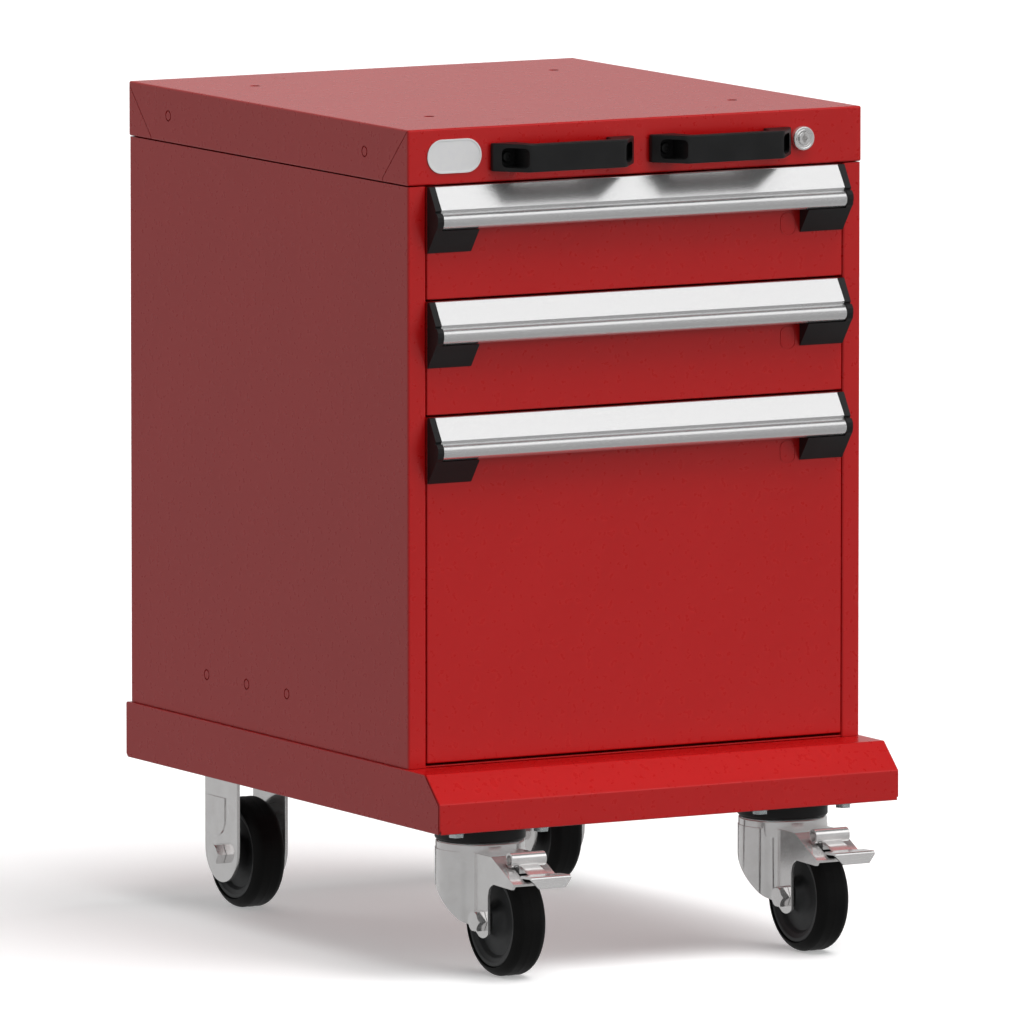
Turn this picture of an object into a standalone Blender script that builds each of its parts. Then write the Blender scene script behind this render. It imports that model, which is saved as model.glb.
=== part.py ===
"""A red mobile workbench with three drawers on two rigid and two braked swivel casters.

All lengths are in millimetres and become metres when a mesh is written. Shapes are laid out in the
cabinet frame: X to the right, Y to the back from the cabinet's front face, Z up from its underside.
One empty carries that frame, so that the world origin lies on the floor under the middle of the object.
"""

import math

import bmesh
import bpy

MM = 0.001
GAP = 0.3
PAST = 10.0  # how far a cutter reaches past what it cuts
CASTER_REACH = 120.0  # farther out than any part of one caster

# Cabinet
WIDTH = 457.2
DEPTH = 520.0
BODY_TOP = 512.6
SHEET = 1.5
STILE_WIDTH = 15.4
STILE_RETURN = 25.0
BACK_RETURN = 18.0
FOLD_RADIUS = 1.6

# Lid
LID_BOTTOM = 513.4
LID_TOP = 562.6
LID_PROUD = 0.5
LID_EDGE = 1.8
LID_HOLES = ((-152.5, 423.0), (-151.5, 101.5), (155.0, 424.0), (155.5, 101.5))
LID_HOLE_RADIUS = 4.8

# Base tray with its slanted kick plate
TRAY_SIDE = 3.7
TRAY_BACK = 3.0
TRAY_HEIGHT = 50.3
KICK_TOP = 37.9
KICK_FRONT = 63.2
KICK_DROP = 23.6

# Push handles on the lid front
HANDLE_CENTRES = (-76.0, 83.5)
HANDLE_Z = 535.4
HANDLE_TALL = 24.6
HANDLE_HALF = 71.0
HANDLE_FLAT_HALF = 49.0
HANDLE_REACH = 31.0
HANDLE_BAR = 10.0
HANDLE_PAD = 26.0
HANDLE_SHOULDER = 4.5
HANDLE_EDGE = 1.2
POCKET_WIDTH = 17.0
POCKET_TALL = 17.6
POCKET_FLOOR = 3.5

# Blank plate and lock
PLATE_CENTRE = (-183.0, 538.0)
PLATE_WIDTH = 54.0
PLATE_TALL = 30.0
PLATE_THICK = 0.8
PLATE_CORNER = 9.0
LOCK_CENTRE = (168.0, 536.9)
LOCK_FLANGE_RADIUS = 10.7
LOCK_FLANGE_THICK = 4.8
LOCK_BODY_RADIUS = 8.8
LOCK_BODY_BACK = 24.0
BARREL_RADIUS = 5.9
BARREL_BACK = 28.3
BARREL_PROUD = 0.4
KEYWAY = (2.2, 8.4, 6.0)
CAM_FRONT = 28.6
CAM_THICK = 3.0
CAM_LENGTH = 14.0
CAM_HALF = 5.0
LOCK_BAR_X = (217.0, 224.0)
LOCK_BAR_BOTTOM = 14.0
LOCK_ARM_INNER = 172.0
LOCK_ARM_TOP = 528.9
LOCK_ARM_THICK = 4.0

# Drawers, from the bottom up: (name, bottom of the front, top of the front)
DRAWERS = (
    ("bottom_drawer", 4.0, 309.2),
    ("middle_drawer", 311.0, 410.9),
    ("top_drawer", 412.7, 512.0),
)
FRONT_HALF = 209.8
FRONT_DEEP = 14.0
FRONT_SHEET = 1.2
BOX_HALF = 200.0
BOX_FRONT = 14.3
BOX_BACK = 492.0
BOX_SHEET = 1.2
BOX_LIFT = 7.0
BOX_DROP = 16.0
RAIL_FRONT = 40.0
RAIL_BACK = 505.0
RAIL_HALF_TALL = 20.0
RAIL_INNER = 204.0
RAIL_SHEET = 2.0
RAIL_ABOVE_BOTTOM = 42.0
RUNNER_OUTER = 211.5
RUNNER_THICK = 5.0
RUNNER_PLAY = 0.6

# Drawer handle: the section runs down from the drawer's top edge, Y counts out of the front
GRIP_TOP_REACH = 3.5
GRIP_SLANT_END = (15.5, 19.5)
GRIP_GROOVE = (14.4, 21.0, 22.2)
GRIP_BEAD_TOP = (16.2, 22.9)
GRIP_BEAD_REACH = 19.9
GRIP_BEAD_BOTTOM = (16.6, 36.5)
GRIP_WALL = 2.4
GRIP_FLANGE_DROP = 14.0
CAP_WIDTH = 6.0
CAP_DROP = 58.3
CAP_WEDGE_TOP = 37.4
CAP_WEDGE_REACH = 16.6
CAP_WEDGE_WIDTH = 43.5
CAP_PROUD = 0.5

# Casters
WHEEL_X = 153.5
AXLE_Z = -132.0
FRONT_WHEEL_Y = -40.0
REAR_WHEEL_Y = 440.0
SWIVEL_OFFSET = 46.0
WHEEL_RADIUS = 50.0
TYRE_HALF = 16.0
TYRE_INNER = 41.8
TYRE_SHOULDER = 9.5
HUB_BORE = 5.4
AXLE_RADIUS = 5.0
HEX_FLATS = 17.0
HEX_THICK = 8.6
MOUNT_PLATE = (52.0, 42.5, 3.5)
MOUNT_CORNER = 8.0
CHANNEL_HALF = 56.0
CHANNEL_SHEET = 2.0
CHANNEL_TALL = 22.0
RING_RADIUS = 40.2
RING_BORE = 14.0
RING_Z = (66.5, 77.3)
KINGPIN_RADIUS = 6.0
KINGPIN_HEAD = (10.0, 47.0, 52.0)
WHEEL_STEPS = 32
ROUND_STEPS = 28

# Swivel fork: side view points are (Y from the axle, Z from the axle)
FORK_HALF = 24.0
FORK_SHEET = 2.5
FORK_TOP = 58.5
FORK_SLOPE = ((-17.0, 58.5), (-58.0, 38.5))
FORK_BEAK = ((-54.0, 33.5), (-20.4, 34.3), (-12.6, 30.0), (-10.5, 22.0))
FORK_TOE_RADIUS = 15.5
FORK_HEEL = ((22.0, -4.0), (47.5, 17.0), (68.6, 34.0), (90.0, 51.0), (CASTER_REACH, 51.0))
FORK_WRAP_RADIUS = 40.0
FORK_WAIST = (33.4, -22.0)
FORK_NECK_Y = -28.0
HEAD_RADIUS = 37.0
WINDOW_HALF = 11.5
WINDOW_Y = (-56.0, -26.0)

# Brake pedal: points are (Y from the axle, Z from the axle)
PEDAL_PIVOT = (-37.0, 57.3)
PEDAL_TUBE_RADIUS = 6.5
PEDAL_TUBE_HALF = 16.0
PEDAL_HALF = 20.0
PEDAL_NECK_HALF = 9.6
PEDAL_NECK_END = -61.0
PEDAL_LIP_HALF = 12.5
PEDAL_TOP = ((-36.0, 55.2), (-62.0, 48.6), (-81.5, 48.0), (-84.2, 37.5))
PEDAL_UNDER = ((-82.1, 37.2), (-79.8, 45.7), (-62.0, 46.2), (-36.0, 52.6))
SHOE = (9.0, (-41.0, -32.0), (45.5, 54.0))

# Rigid bracket: points are (Y from the axle, Z from the axle)
BRACKET_HALF = 26.0
BRACKET_SHEET = 3.0
BRACKET_LEG_HALF = 30.5
BRACKET_STRAIGHT_TO = 4.0
BRACKET_TOE = -26.0

FRAME_Y = -((DEPTH + TRAY_BACK) + (FRONT_WHEEL_Y + PEDAL_TOP[-1][0])) / 2
FRAME_Z = WHEEL_RADIUS - AXLE_Z

RED = ("red_powder_coat", (0.43, 0.022, 0.025), 0.42, 0.0)
ALUMINIUM = ("brushed_aluminium", (0.80, 0.80, 0.80), 0.30, 1.0)
BLACK = ("black_plastic", (0.012, 0.012, 0.013), 0.45, 0.0)
GREY = ("grey_nylon", (0.045, 0.046, 0.048), 0.50, 0.0)
RUBBER = ("black_rubber", (0.006, 0.006, 0.006), 0.70, 0.0)
ZINC = ("zinc_plated_steel", (0.62, 0.61, 0.60), 0.28, 1.0)
CHROME = ("polished_zinc", (0.75, 0.74, 0.74), 0.16, 1.0)
LABEL = ("blank_label", (0.75, 0.75, 0.73), 0.40, 0.0)
STEEL = ("galvanised_steel", (0.50, 0.50, 0.50), 0.38, 1.0)


def clear_scene():
    for obj in list(bpy.data.objects):
        bpy.data.objects.remove(obj, do_unlink=True)


def finish_material(finish):
    name, colour, roughness, metallic = finish
    material = bpy.data.materials.get(name)
    if material is None:
        material = bpy.data.materials.new(name)
        material.use_nodes = True
        shader = material.node_tree.nodes["Principled BSDF"]
        shader.inputs["Base Color"].default_value = (*colour, 1.0)
        shader.inputs["Roughness"].default_value = roughness
        shader.inputs["Metallic"].default_value = metallic
    return material


def make_empty(name, at, parent=None):
    empty = bpy.data.objects.new(name, None)
    bpy.context.scene.collection.objects.link(empty)
    empty.location = [value * MM for value in at]
    empty.parent = parent
    return empty


def make_object(name, bm, finish, parent, at=(0.0, 0.0, 0.0), smooth=False):
    """Turns a bmesh in millimetres into an object; its shape is laid out around the point `at`."""
    bmesh.ops.recalc_face_normals(bm, faces=bm.faces)
    bmesh.ops.scale(bm, vec=(MM, MM, MM), verts=bm.verts)
    mesh = bpy.data.meshes.new(name)
    bm.to_mesh(mesh)
    bm.free()
    mesh.materials.append(finish_material(finish))
    if smooth:
        mesh.shade_smooth()
        mesh.set_sharp_from_angle(angle=math.radians(35))
    obj = bpy.data.objects.new(name, mesh)
    bpy.context.scene.collection.objects.link(obj)
    obj.location = [value * MM for value in at]
    obj.parent = parent
    return obj


def combine(obj, operation, bm):
    """Adds a Boolean with a hidden helper that shares the object's place."""
    count = len(obj.modifiers)
    helper = make_object(f"{obj.name}_{operation.lower()}_{count}", bm, RED, obj.parent)
    helper.location = obj.location
    helper.hide_render = True
    helper.display_type = "WIRE"
    modifier = obj.modifiers.new(f"{operation.title()} {count}", "BOOLEAN")
    modifier.operation = operation
    modifier.solver = "EXACT"
    modifier.object = helper


def place(axis, along, a, b):
    """A point from its place along an axis and its two other coordinates, in their XYZ order."""
    return {"X": (along, a, b), "Y": (a, along, b), "Z": (a, b, along)}[axis]


def prism(outline, axis, low, high):
    """A closed prism: the outline's points are the two other coordinates in their XYZ order."""
    bm = bmesh.new()
    rings = [[bm.verts.new(place(axis, along, a, b)) for a, b in outline] for along in (low, high)]
    bm.faces.new(rings[0])
    bm.faces.new(list(reversed(rings[1])))
    count = len(outline)
    for i in range(count):
        j = (i + 1) % count
        bm.faces.new((rings[0][i], rings[1][i], rings[1][j], rings[0][j]))
    return bm


def box(low, high):
    (x0, y0, z0), (x1, y1, z1) = low, high
    return prism([(x0, y0), (x1, y0), (x1, y1), (x0, y1)], "Z", z0, z1)


def circle(radius, steps, centre=(0.0, 0.0), start=0.0):
    angles = [start + 2 * math.pi * i / steps for i in range(steps)]
    return [(centre[0] + radius * math.cos(a), centre[1] + radius * math.sin(a)) for a in angles]


def arc(centre, radius, start, end, steps):
    """Points of an arc between two angles in degrees, both ends included."""
    angles = [math.radians(start + (end - start) * i / steps) for i in range(steps + 1)]
    return [(centre[0] + radius * math.cos(a), centre[1] + radius * math.sin(a)) for a in angles]


def rounded_rectangle(half_a, half_b, radius, steps=4):
    points = []
    for turn, (side_a, side_b) in enumerate(((1, 1), (-1, 1), (-1, -1), (1, -1))):
        centre = (side_a * (half_a - radius), side_b * (half_b - radius))
        points += arc(centre, radius, 90 * turn, 90 * turn + 90, steps)
    return points


def filleted(points, radius, steps=3):
    """The closed outline with each corner replaced by an arc; `radius` may be one number per corner."""
    radii = radius if isinstance(radius, (list, tuple)) else [radius] * len(points)
    outline = []
    for i, (x, y) in enumerate(points):
        if radii[i] <= 0:
            outline.append((x, y))
            continue
        ways = []
        for other in (points[i - 1], points[(i + 1) % len(points)]):
            length = math.hypot(other[0] - x, other[1] - y)
            ways.append(((other[0] - x) / length, (other[1] - y) / length))
        (ax, ay), (bx, by) = ways
        half = math.acos(max(-1.0, min(1.0, ax * bx + ay * by))) / 2
        back = radii[i] / math.tan(half)
        middle_length = math.hypot(ax + bx, ay + by)
        reach = radii[i] / math.sin(half)
        centre = (x + (ax + bx) / middle_length * reach, y + (ay + by) / middle_length * reach)
        first = math.atan2(y + ay * back - centre[1], x + ax * back - centre[0])
        last = math.atan2(y + by * back - centre[1], x + bx * back - centre[0])
        sweep = (last - first + math.pi) % (2 * math.pi) - math.pi
        for step in range(steps + 1):
            angle = first + sweep * step / steps
            outline.append((centre[0] + radii[i] * math.cos(angle), centre[1] + radii[i] * math.sin(angle)))
    return outline


def turned(profile, axis, steps):
    """A ring swept round an axis; the profile's points are (radius, place along the axis)."""
    bm = bmesh.new()
    rings = []
    for i in range(steps):
        angle = 2 * math.pi * i / steps
        c, s = math.cos(angle), math.sin(angle)
        rings.append([bm.verts.new(place(axis, along, r * c, r * s)) for r, along in profile])
    count = len(profile)
    for i, ring in enumerate(rings):
        following = rings[(i + 1) % steps]
        for j in range(count):
            k = (j + 1) % count
            bm.faces.new((ring[j], following[j], following[k], ring[k]))
    return bm


def bevel_edges(bm, width, keep):
    """Rounds the edges for which keep(edge) holds."""
    edges = [edge for edge in bm.edges if keep(edge)]
    bmesh.ops.bevel(bm, geom=edges, offset=width, segments=2, profile=0.5, affect="EDGES")


# ---------------------------------------------------------------- cabinet shell


def make_lid(frame):
    half = WIDTH / 2 + LID_PROUD
    back = DEPTH + LID_PROUD
    bm = box((-half, -LID_PROUD, LID_BOTTOM), (half, back, LID_TOP))
    bevel_edges(bm, LID_EDGE, lambda edge: max(v.co.z for v in edge.verts) > LID_TOP - GAP)
    lid = make_object("top_cover", bm, RED, frame)
    cavity = box(
        (-half + SHEET, -LID_PROUD + SHEET, LID_BOTTOM - PAST),
        (half - SHEET, back - SHEET, LID_TOP - SHEET),
    )
    combine(lid, "DIFFERENCE", cavity)
    for centre in LID_HOLES:
        hole = prism(circle(LID_HOLE_RADIUS, 16, centre), "Z", LID_TOP - 3 * SHEET, LID_TOP + SHEET)
        combine(lid, "DIFFERENCE", hole)
    bore = circle(LOCK_BODY_RADIUS + GAP, ROUND_STEPS, LOCK_CENTRE)
    combine(lid, "DIFFERENCE", prism(bore, "Y", -3 * SHEET, 3 * SHEET))


def make_side(frame, name, side):
    """A side sheet folded into the front stile and a return at the back."""
    outer = WIDTH / 2
    inner = outer - STILE_WIDTH
    corners = [
        (outer, 0),
        (outer, DEPTH),
        (outer - BACK_RETURN, DEPTH),
        (outer - BACK_RETURN, DEPTH - SHEET),
        (outer - SHEET, DEPTH - SHEET),
        (outer - SHEET, SHEET),
        (inner + SHEET, SHEET),
        (inner + SHEET, STILE_RETURN),
        (inner, STILE_RETURN),
        (inner, 0),
    ]
    radii = [FOLD_RADIUS, FOLD_RADIUS, 0, 0, 0, 0, 0, 0, 0, FOLD_RADIUS]
    outline = [(side * x, y) for x, y in filleted(corners, radii)]
    make_object(name, prism(outline, "Z", GAP, BODY_TOP), RED, frame)


def make_back_and_bottom(frame):
    half = WIDTH / 2 - SHEET - GAP
    back = DEPTH - SHEET - GAP
    low, high = (-half, back - SHEET, GAP), (half, back, BODY_TOP)
    make_object("back_panel", box(low, high), RED, frame)
    low, high = (-half, SHEET + GAP, GAP), (half, back - SHEET - GAP, GAP + SHEET)
    bottom = make_object("bottom_panel", box(low, high), RED, frame)
    notch_x = WIDTH / 2 - STILE_WIDTH - GAP
    for side in (-1, 1):
        xs = sorted((side * notch_x, side * WIDTH))
        notch = box((xs[0], -SHEET, -SHEET), (xs[1], STILE_RETURN + GAP, 3 * SHEET))
        combine(bottom, "DIFFERENCE", notch)


def make_tray(frame):
    half = WIDTH / 2 + TRAY_SIDE
    back = DEPTH + TRAY_BACK
    corners = [(-KICK_TOP, 0), (back, 0), (back, -TRAY_HEIGHT), (-KICK_FRONT, -TRAY_HEIGHT)]
    corners.append((-KICK_FRONT, -KICK_DROP))
    outline = filleted(corners, [FOLD_RADIUS, FOLD_RADIUS, 0, 0, FOLD_RADIUS], 2)
    tray = make_object("base_tray", prism(outline, "X", -half, half), RED, frame)
    below = -TRAY_HEIGHT - PAST
    inside = [(-KICK_TOP + 0.6, -SHEET), (back - SHEET, -SHEET), (back - SHEET, below)]
    inside += [(-KICK_FRONT + SHEET, below), (-KICK_FRONT + SHEET, -KICK_DROP - 0.6)]
    combine(tray, "DIFFERENCE", prism(inside, "X", -half + SHEET, half - SHEET))


def make_channel(frame, name, centre_y):
    """A U channel across the tray that the caster plates bolt to."""
    near, far = centre_y - CHANNEL_HALF, centre_y + CHANNEL_HALF
    bottom = -TRAY_HEIGHT + GAP
    top = bottom + CHANNEL_TALL
    outline = [(near, top), (near, bottom), (far, bottom), (far, top)]
    outline += [(far - CHANNEL_SHEET, top), (far - CHANNEL_SHEET, bottom + CHANNEL_SHEET)]
    outline += [(near + CHANNEL_SHEET, bottom + CHANNEL_SHEET), (near + CHANNEL_SHEET, top)]
    half = WIDTH / 2 + TRAY_SIDE - SHEET - GAP
    make_object(name, prism(outline, "X", -half, half), STEEL, frame)


# ---------------------------------------------------------------- lid fittings


def make_push_handle(frame, name, centre_x):
    """A bridge handle: splayed legs with a screw pocket in each, and a flat bar between them."""
    foot = -LID_PROUD - GAP
    right = [
        (HANDLE_HALF - HANDLE_PAD, foot),
        (HANDLE_HALF, foot),
        (HANDLE_HALF, foot - HANDLE_SHOULDER),
        (HANDLE_FLAT_HALF, foot - HANDLE_REACH),
    ]
    under = [
        (HANDLE_HALF - HANDLE_PAD, foot - HANDLE_SHOULDER),
        (HANDLE_FLAT_HALF - HANDLE_BAR, foot - HANDLE_REACH + HANDLE_BAR),
    ]
    left = [(-x, y) for x, y in reversed(right)]
    outline = right + left + [(-x, y) for x, y in under] + list(reversed(under))
    outline = filleted(outline, [0, 0, 3, 6, 6, 3, 0, 0, 3, 4, 4, 3], 3)
    outline = [(x + centre_x, y) for x, y in outline]
    low, high = HANDLE_Z - HANDLE_TALL / 2, HANDLE_Z + HANDLE_TALL / 2
    bm = prism(outline, "Z", low, high)
    rims = (low, high)
    bevel_edges(bm, HANDLE_EDGE, lambda edge: any(
        all(abs(v.co.z - rim) < GAP for v in edge.verts) for rim in rims))
    handle = make_object(name, bm, BLACK, frame, smooth=True)
    for side in (-1, 1):
        middle = centre_x + side * (HANDLE_HALF - HANDLE_PAD / 2 - 1)
        low = (middle - POCKET_WIDTH / 2, -2 * HANDLE_REACH, HANDLE_Z - POCKET_TALL / 2)
        high = (middle + POCKET_WIDTH / 2, foot - POCKET_FLOOR, HANDLE_Z + POCKET_TALL / 2)
        combine(handle, "DIFFERENCE", box(low, high))


def make_plate(frame):
    x, z = PLATE_CENTRE
    outline = rounded_rectangle(PLATE_WIDTH / 2, PLATE_TALL / 2, PLATE_CORNER)
    outline = [(x + a, z + b) for a, b in outline]
    back = -LID_PROUD - GAP
    make_object("blank_plate", prism(outline, "Y", back - PLATE_THICK, back), LABEL, frame)


def make_lock(frame):
    x, z = LOCK_CENTRE
    front = -LID_PROUD - GAP - LOCK_FLANGE_THICK
    bore = BARREL_RADIUS + GAP
    profile = [
        (bore, front),
        (LOCK_FLANGE_RADIUS - 1.5, front),
        (LOCK_FLANGE_RADIUS - 0.4, front + 0.5),
        (LOCK_FLANGE_RADIUS, front + 1.6),
        (LOCK_FLANGE_RADIUS, front + LOCK_FLANGE_THICK),
        (LOCK_BODY_RADIUS, front + LOCK_FLANGE_THICK),
        (LOCK_BODY_RADIUS, LOCK_BODY_BACK),
        (bore, LOCK_BODY_BACK),
    ]
    make_object("lock_housing", turned(profile, "Y", ROUND_STEPS), ZINC, frame, (x, 0, z), True)
    pivot = make_empty("lock_axis", (x, 0, z), frame)
    bm = prism(circle(BARREL_RADIUS, ROUND_STEPS), "Y", front - BARREL_PROUD, BARREL_BACK)
    barrel = make_object("lock_barrel", bm, ZINC, pivot, smooth=True)
    slot_wide, slot_tall, slot_deep = KEYWAY
    low = (-slot_wide / 2, front - 3, -slot_tall / 2)
    high = (slot_wide / 2, front + slot_deep, slot_tall / 2)
    combine(barrel, "DIFFERENCE", box(low, high))
    tip = CAM_LENGTH - CAM_HALF
    outline = arc((0, 0), CAM_HALF, 90, 270, 6) + arc((tip, 0), CAM_HALF, -90, 90, 6)
    cam = prism(outline, "Y", BARREL_BACK + GAP, CAM_FRONT + CAM_THICK)
    make_object("lock_cam", cam, STEEL, pivot)
    near, far = LOCK_BAR_X
    low_arm = LOCK_ARM_TOP - LOCK_ARM_THICK
    outline = [(near, LOCK_BAR_BOTTOM), (far, LOCK_BAR_BOTTOM), (far, LOCK_ARM_TOP)]
    outline += [(LOCK_ARM_INNER, LOCK_ARM_TOP), (LOCK_ARM_INNER, low_arm), (near, low_arm)]
    bar = prism(outline, "Y", CAM_FRONT, CAM_FRONT + CAM_THICK)
    make_object("lock_bar", bar, STEEL, frame)


# ---------------------------------------------------------------- drawers


def grip_section():
    """The handle's section as (Y, Z) points: slanted face, groove, rounded bead and back flange."""
    reach, drop = GRIP_BEAD_REACH, GRIP_BEAD_BOTTOM[1]
    outer = [(-GAP, 0), (-GRIP_TOP_REACH, 0), (-GRIP_SLANT_END[0], -GRIP_SLANT_END[1])]
    outer += [(-GRIP_GROOVE[0], -GRIP_GROOVE[1]), (-GRIP_GROOVE[0], -GRIP_GROOVE[2])]
    outer += [(-GRIP_BEAD_TOP[0], -GRIP_BEAD_TOP[1]), (-reach + 0.8, -GRIP_BEAD_TOP[1] - 2.6)]
    outer += [(-reach, -GRIP_BEAD_TOP[1] - 5.5), (-reach + 0.5, -drop + 4.5)]
    outer += [(-GRIP_BEAD_BOTTOM[0], -drop)]
    under = [(-GRIP_BEAD_BOTTOM[0] + GRIP_WALL, -drop + 0.6)]
    under += [(-GRIP_GROOVE[0] + GRIP_WALL, -GRIP_GROOVE[2] - 1)]
    under += [(-GRIP_GROOVE[0] + GRIP_WALL, -GRIP_SLANT_END[1] + 1)]
    under += [(-GAP - GRIP_WALL, -2 * GRIP_WALL), (-GAP - GRIP_WALL, -GRIP_FLANGE_DROP)]
    under += [(-GAP, -GRIP_FLANGE_DROP)]
    return outer + under


def cap_section():
    """The end cap's section: it stands just proud of the handle and tapers back to the drawer front."""
    points = [(-GAP, 0), (-GRIP_TOP_REACH - CAP_PROUD, 0)]
    points += [(-GRIP_SLANT_END[0] - CAP_PROUD, -GRIP_SLANT_END[1] - 0.6)]
    points += [(-GRIP_BEAD_REACH + 0.6, -GRIP_BEAD_TOP[1] - 1.6), (-GRIP_BEAD_REACH - CAP_PROUD, -29.5)]
    points += [(-GRIP_BEAD_REACH + 1.0, -34.8), (-CAP_WEDGE_REACH, -CAP_WEDGE_TOP)]
    points += [(-GAP - 0.8, -CAP_DROP), (-GAP, -CAP_DROP)]
    return points


def make_end_cap(parent, name, side, top):
    cheek = [FRONT_HALF - CAP_WIDTH, FRONT_HALF]
    wedge = [FRONT_HALF - CAP_WEDGE_WIDTH, FRONT_HALF - CAP_WIDTH / 2]
    xs = sorted(side * x for x in cheek)
    outline = [(y, top + z) for y, z in cap_section()]
    cap = make_object(name, prism(outline, "X", xs[0], xs[1]), BLACK, parent)
    xs = sorted(side * x for x in wedge)
    outline = [(-GAP, -CAP_WEDGE_TOP), (-CAP_WEDGE_REACH, -CAP_WEDGE_TOP)]
    outline += [(-GAP - 0.8, -CAP_DROP), (-GAP, -CAP_DROP)]
    outline = [(y, top + z) for y, z in outline]
    combine(cap, "UNION", prism(outline, "X", xs[0], xs[1]))


def make_drawer(frame, name, bottom, top):
    """A drawer slides on one joint: its box, front, handle and caps move together."""
    front = make_object(
        f"{name}_front", box((-FRONT_HALF, 0, bottom), (FRONT_HALF, FRONT_DEEP, top)), RED, frame)
    inset = FRONT_HALF - FRONT_SHEET
    low, high = (-inset, FRONT_SHEET, bottom + FRONT_SHEET), (inset, 2 * FRONT_DEEP, top - FRONT_SHEET)
    combine(front, "DIFFERENCE", box(low, high))

    low, high = bottom + BOX_LIFT, top - BOX_DROP
    tub = make_object(
        f"{name}_box", box((-BOX_HALF, BOX_FRONT, low), (BOX_HALF, BOX_BACK, high)), STEEL, frame)
    inner = BOX_HALF - BOX_SHEET
    combine(tub, "DIFFERENCE", box(
        (-inner, BOX_FRONT + BOX_SHEET, low + BOX_SHEET), (inner, BOX_BACK - BOX_SHEET, high + PAST)))
    ledge = bottom + RAIL_ABOVE_BOTTOM - RAIL_HALF_TALL + RAIL_SHEET + RUNNER_PLAY
    for side in (-1, 1):
        xs = sorted((side * (BOX_HALF - BOX_SHEET / 2), side * RUNNER_OUTER))
        runner = box((xs[0], RAIL_FRONT, ledge), (xs[1], BOX_BACK - BOX_SHEET, ledge + RUNNER_THICK))
        combine(tub, "UNION", runner)

    outline = [(y, top + z) for y, z in grip_section()]
    half = FRONT_HALF - CAP_WIDTH - GAP
    make_object(f"{name}_handle", prism(outline, "X", -half, half), ALUMINIUM, frame)
    make_end_cap(frame, f"{name}_left_cap", -1, top)
    make_end_cap(frame, f"{name}_right_cap", 1, top)


def make_rail(frame, name, side, bottom):
    """A C rail on the cabinet wall; the drawer's ledge runs on its lower flange."""
    outer = WIDTH / 2 - SHEET - GAP
    middle = bottom + RAIL_ABOVE_BOTTOM
    low, high = middle - RAIL_HALF_TALL, middle + RAIL_HALF_TALL
    outline = [(RAIL_INNER, low), (outer, low), (outer, high), (RAIL_INNER, high)]
    outline += [(RAIL_INNER, high - RAIL_SHEET), (outer - RAIL_SHEET, high - RAIL_SHEET)]
    outline += [(outer - RAIL_SHEET, low + RAIL_SHEET), (RAIL_INNER, low + RAIL_SHEET)]
    outline = [(side * x, z) for x, z in outline]
    make_object(name, prism(outline, "Y", RAIL_FRONT, RAIL_BACK), STEEL, frame)


# ---------------------------------------------------------------- casters


def hex_outline(flats):
    return circle(flats / math.sqrt(3), 6)


def make_axle(parent, name, half, at):
    """A bolt through the legs with a hexagon at each end, its corners pointing forward and back."""
    bm = prism(circle(AXLE_RADIUS, 16), "X", -half - GAP - 1, half + GAP + 1)
    axle = make_object(name, bm, ZINC, parent, at, smooth=True)
    for side in (-1, 1):
        xs = sorted((side * (half + GAP), side * (half + GAP + HEX_THICK)))
        combine(axle, "UNION", prism(hex_outline(HEX_FLATS), "X", xs[0], xs[1]))


def make_wheel(parent, prefix, at):
    """A nylon hub with a deep ring groove on each face, and a crowned rubber tyre on it."""
    side = TYRE_HALF
    right = [(HUB_BORE, 19.0), (11.0, 19.0), (13.5, 14.0), (17.0, 9.0), (31.0, 8.0)]
    right += [(35.0, 11.0), (36.5, 14.5), (TYRE_INNER - GAP, 14.5)]
    profile = right + [(radius, -along) for radius, along in reversed(right)]
    bm = turned(profile, "X", WHEEL_STEPS)
    make_object(f"{prefix}_hub", bm, GREY, parent, at, smooth=True)
    shoulder = (WHEEL_RADIUS - TYRE_SHOULDER, side - TYRE_SHOULDER)
    right = [(TYRE_INNER, side - 1.0), (TYRE_INNER + 1.0, side)]
    right += arc(shoulder, TYRE_SHOULDER, 64, 12, 2)
    profile = right + [(WHEEL_RADIUS, 0.0)] + [(radius, -along) for radius, along in reversed(right)]
    bm = turned(profile, "X", WHEEL_STEPS)
    make_object(f"{prefix}_tyre", bm, RUBBER, parent, at, smooth=True)


def mount_plate(height):
    """The caster's top plate as a bmesh, from `height` down."""
    half_x, half_y, thick = MOUNT_PLATE
    return prism(rounded_rectangle(half_x, half_y, MOUNT_CORNER), "Z", height - thick, height)


def fork_side_view():
    """The fork from its side, round the outside, as (Y, Z) points from the axle."""
    points = [(CASTER_REACH, FORK_TOP), FORK_SLOPE[0], FORK_SLOPE[1], *FORK_BEAK]
    points += arc((0, 0), FORK_TOE_RADIUS, 225, 290, 4)
    return points + list(FORK_HEEL)


def fork_plan(inset):
    """The fork from above, as (X, Y) points from the swivel axis, moved in by the sheet's thickness."""
    half, radius = FORK_HALF - inset, FORK_WRAP_RADIUS - inset
    waist_x, waist_y = FORK_WAIST[0] - inset, FORK_WAIST[1] + inset / 2
    start = math.degrees(math.atan2(waist_y, waist_x))
    right = [(half, -CASTER_REACH), (half, FORK_NECK_Y + inset / 2)]
    right += arc((0, 0), radius, start, 90, 9)[:-1]
    return right + [(0.0, radius)] + [(-x, y) for x, y in reversed(right)]


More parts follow.
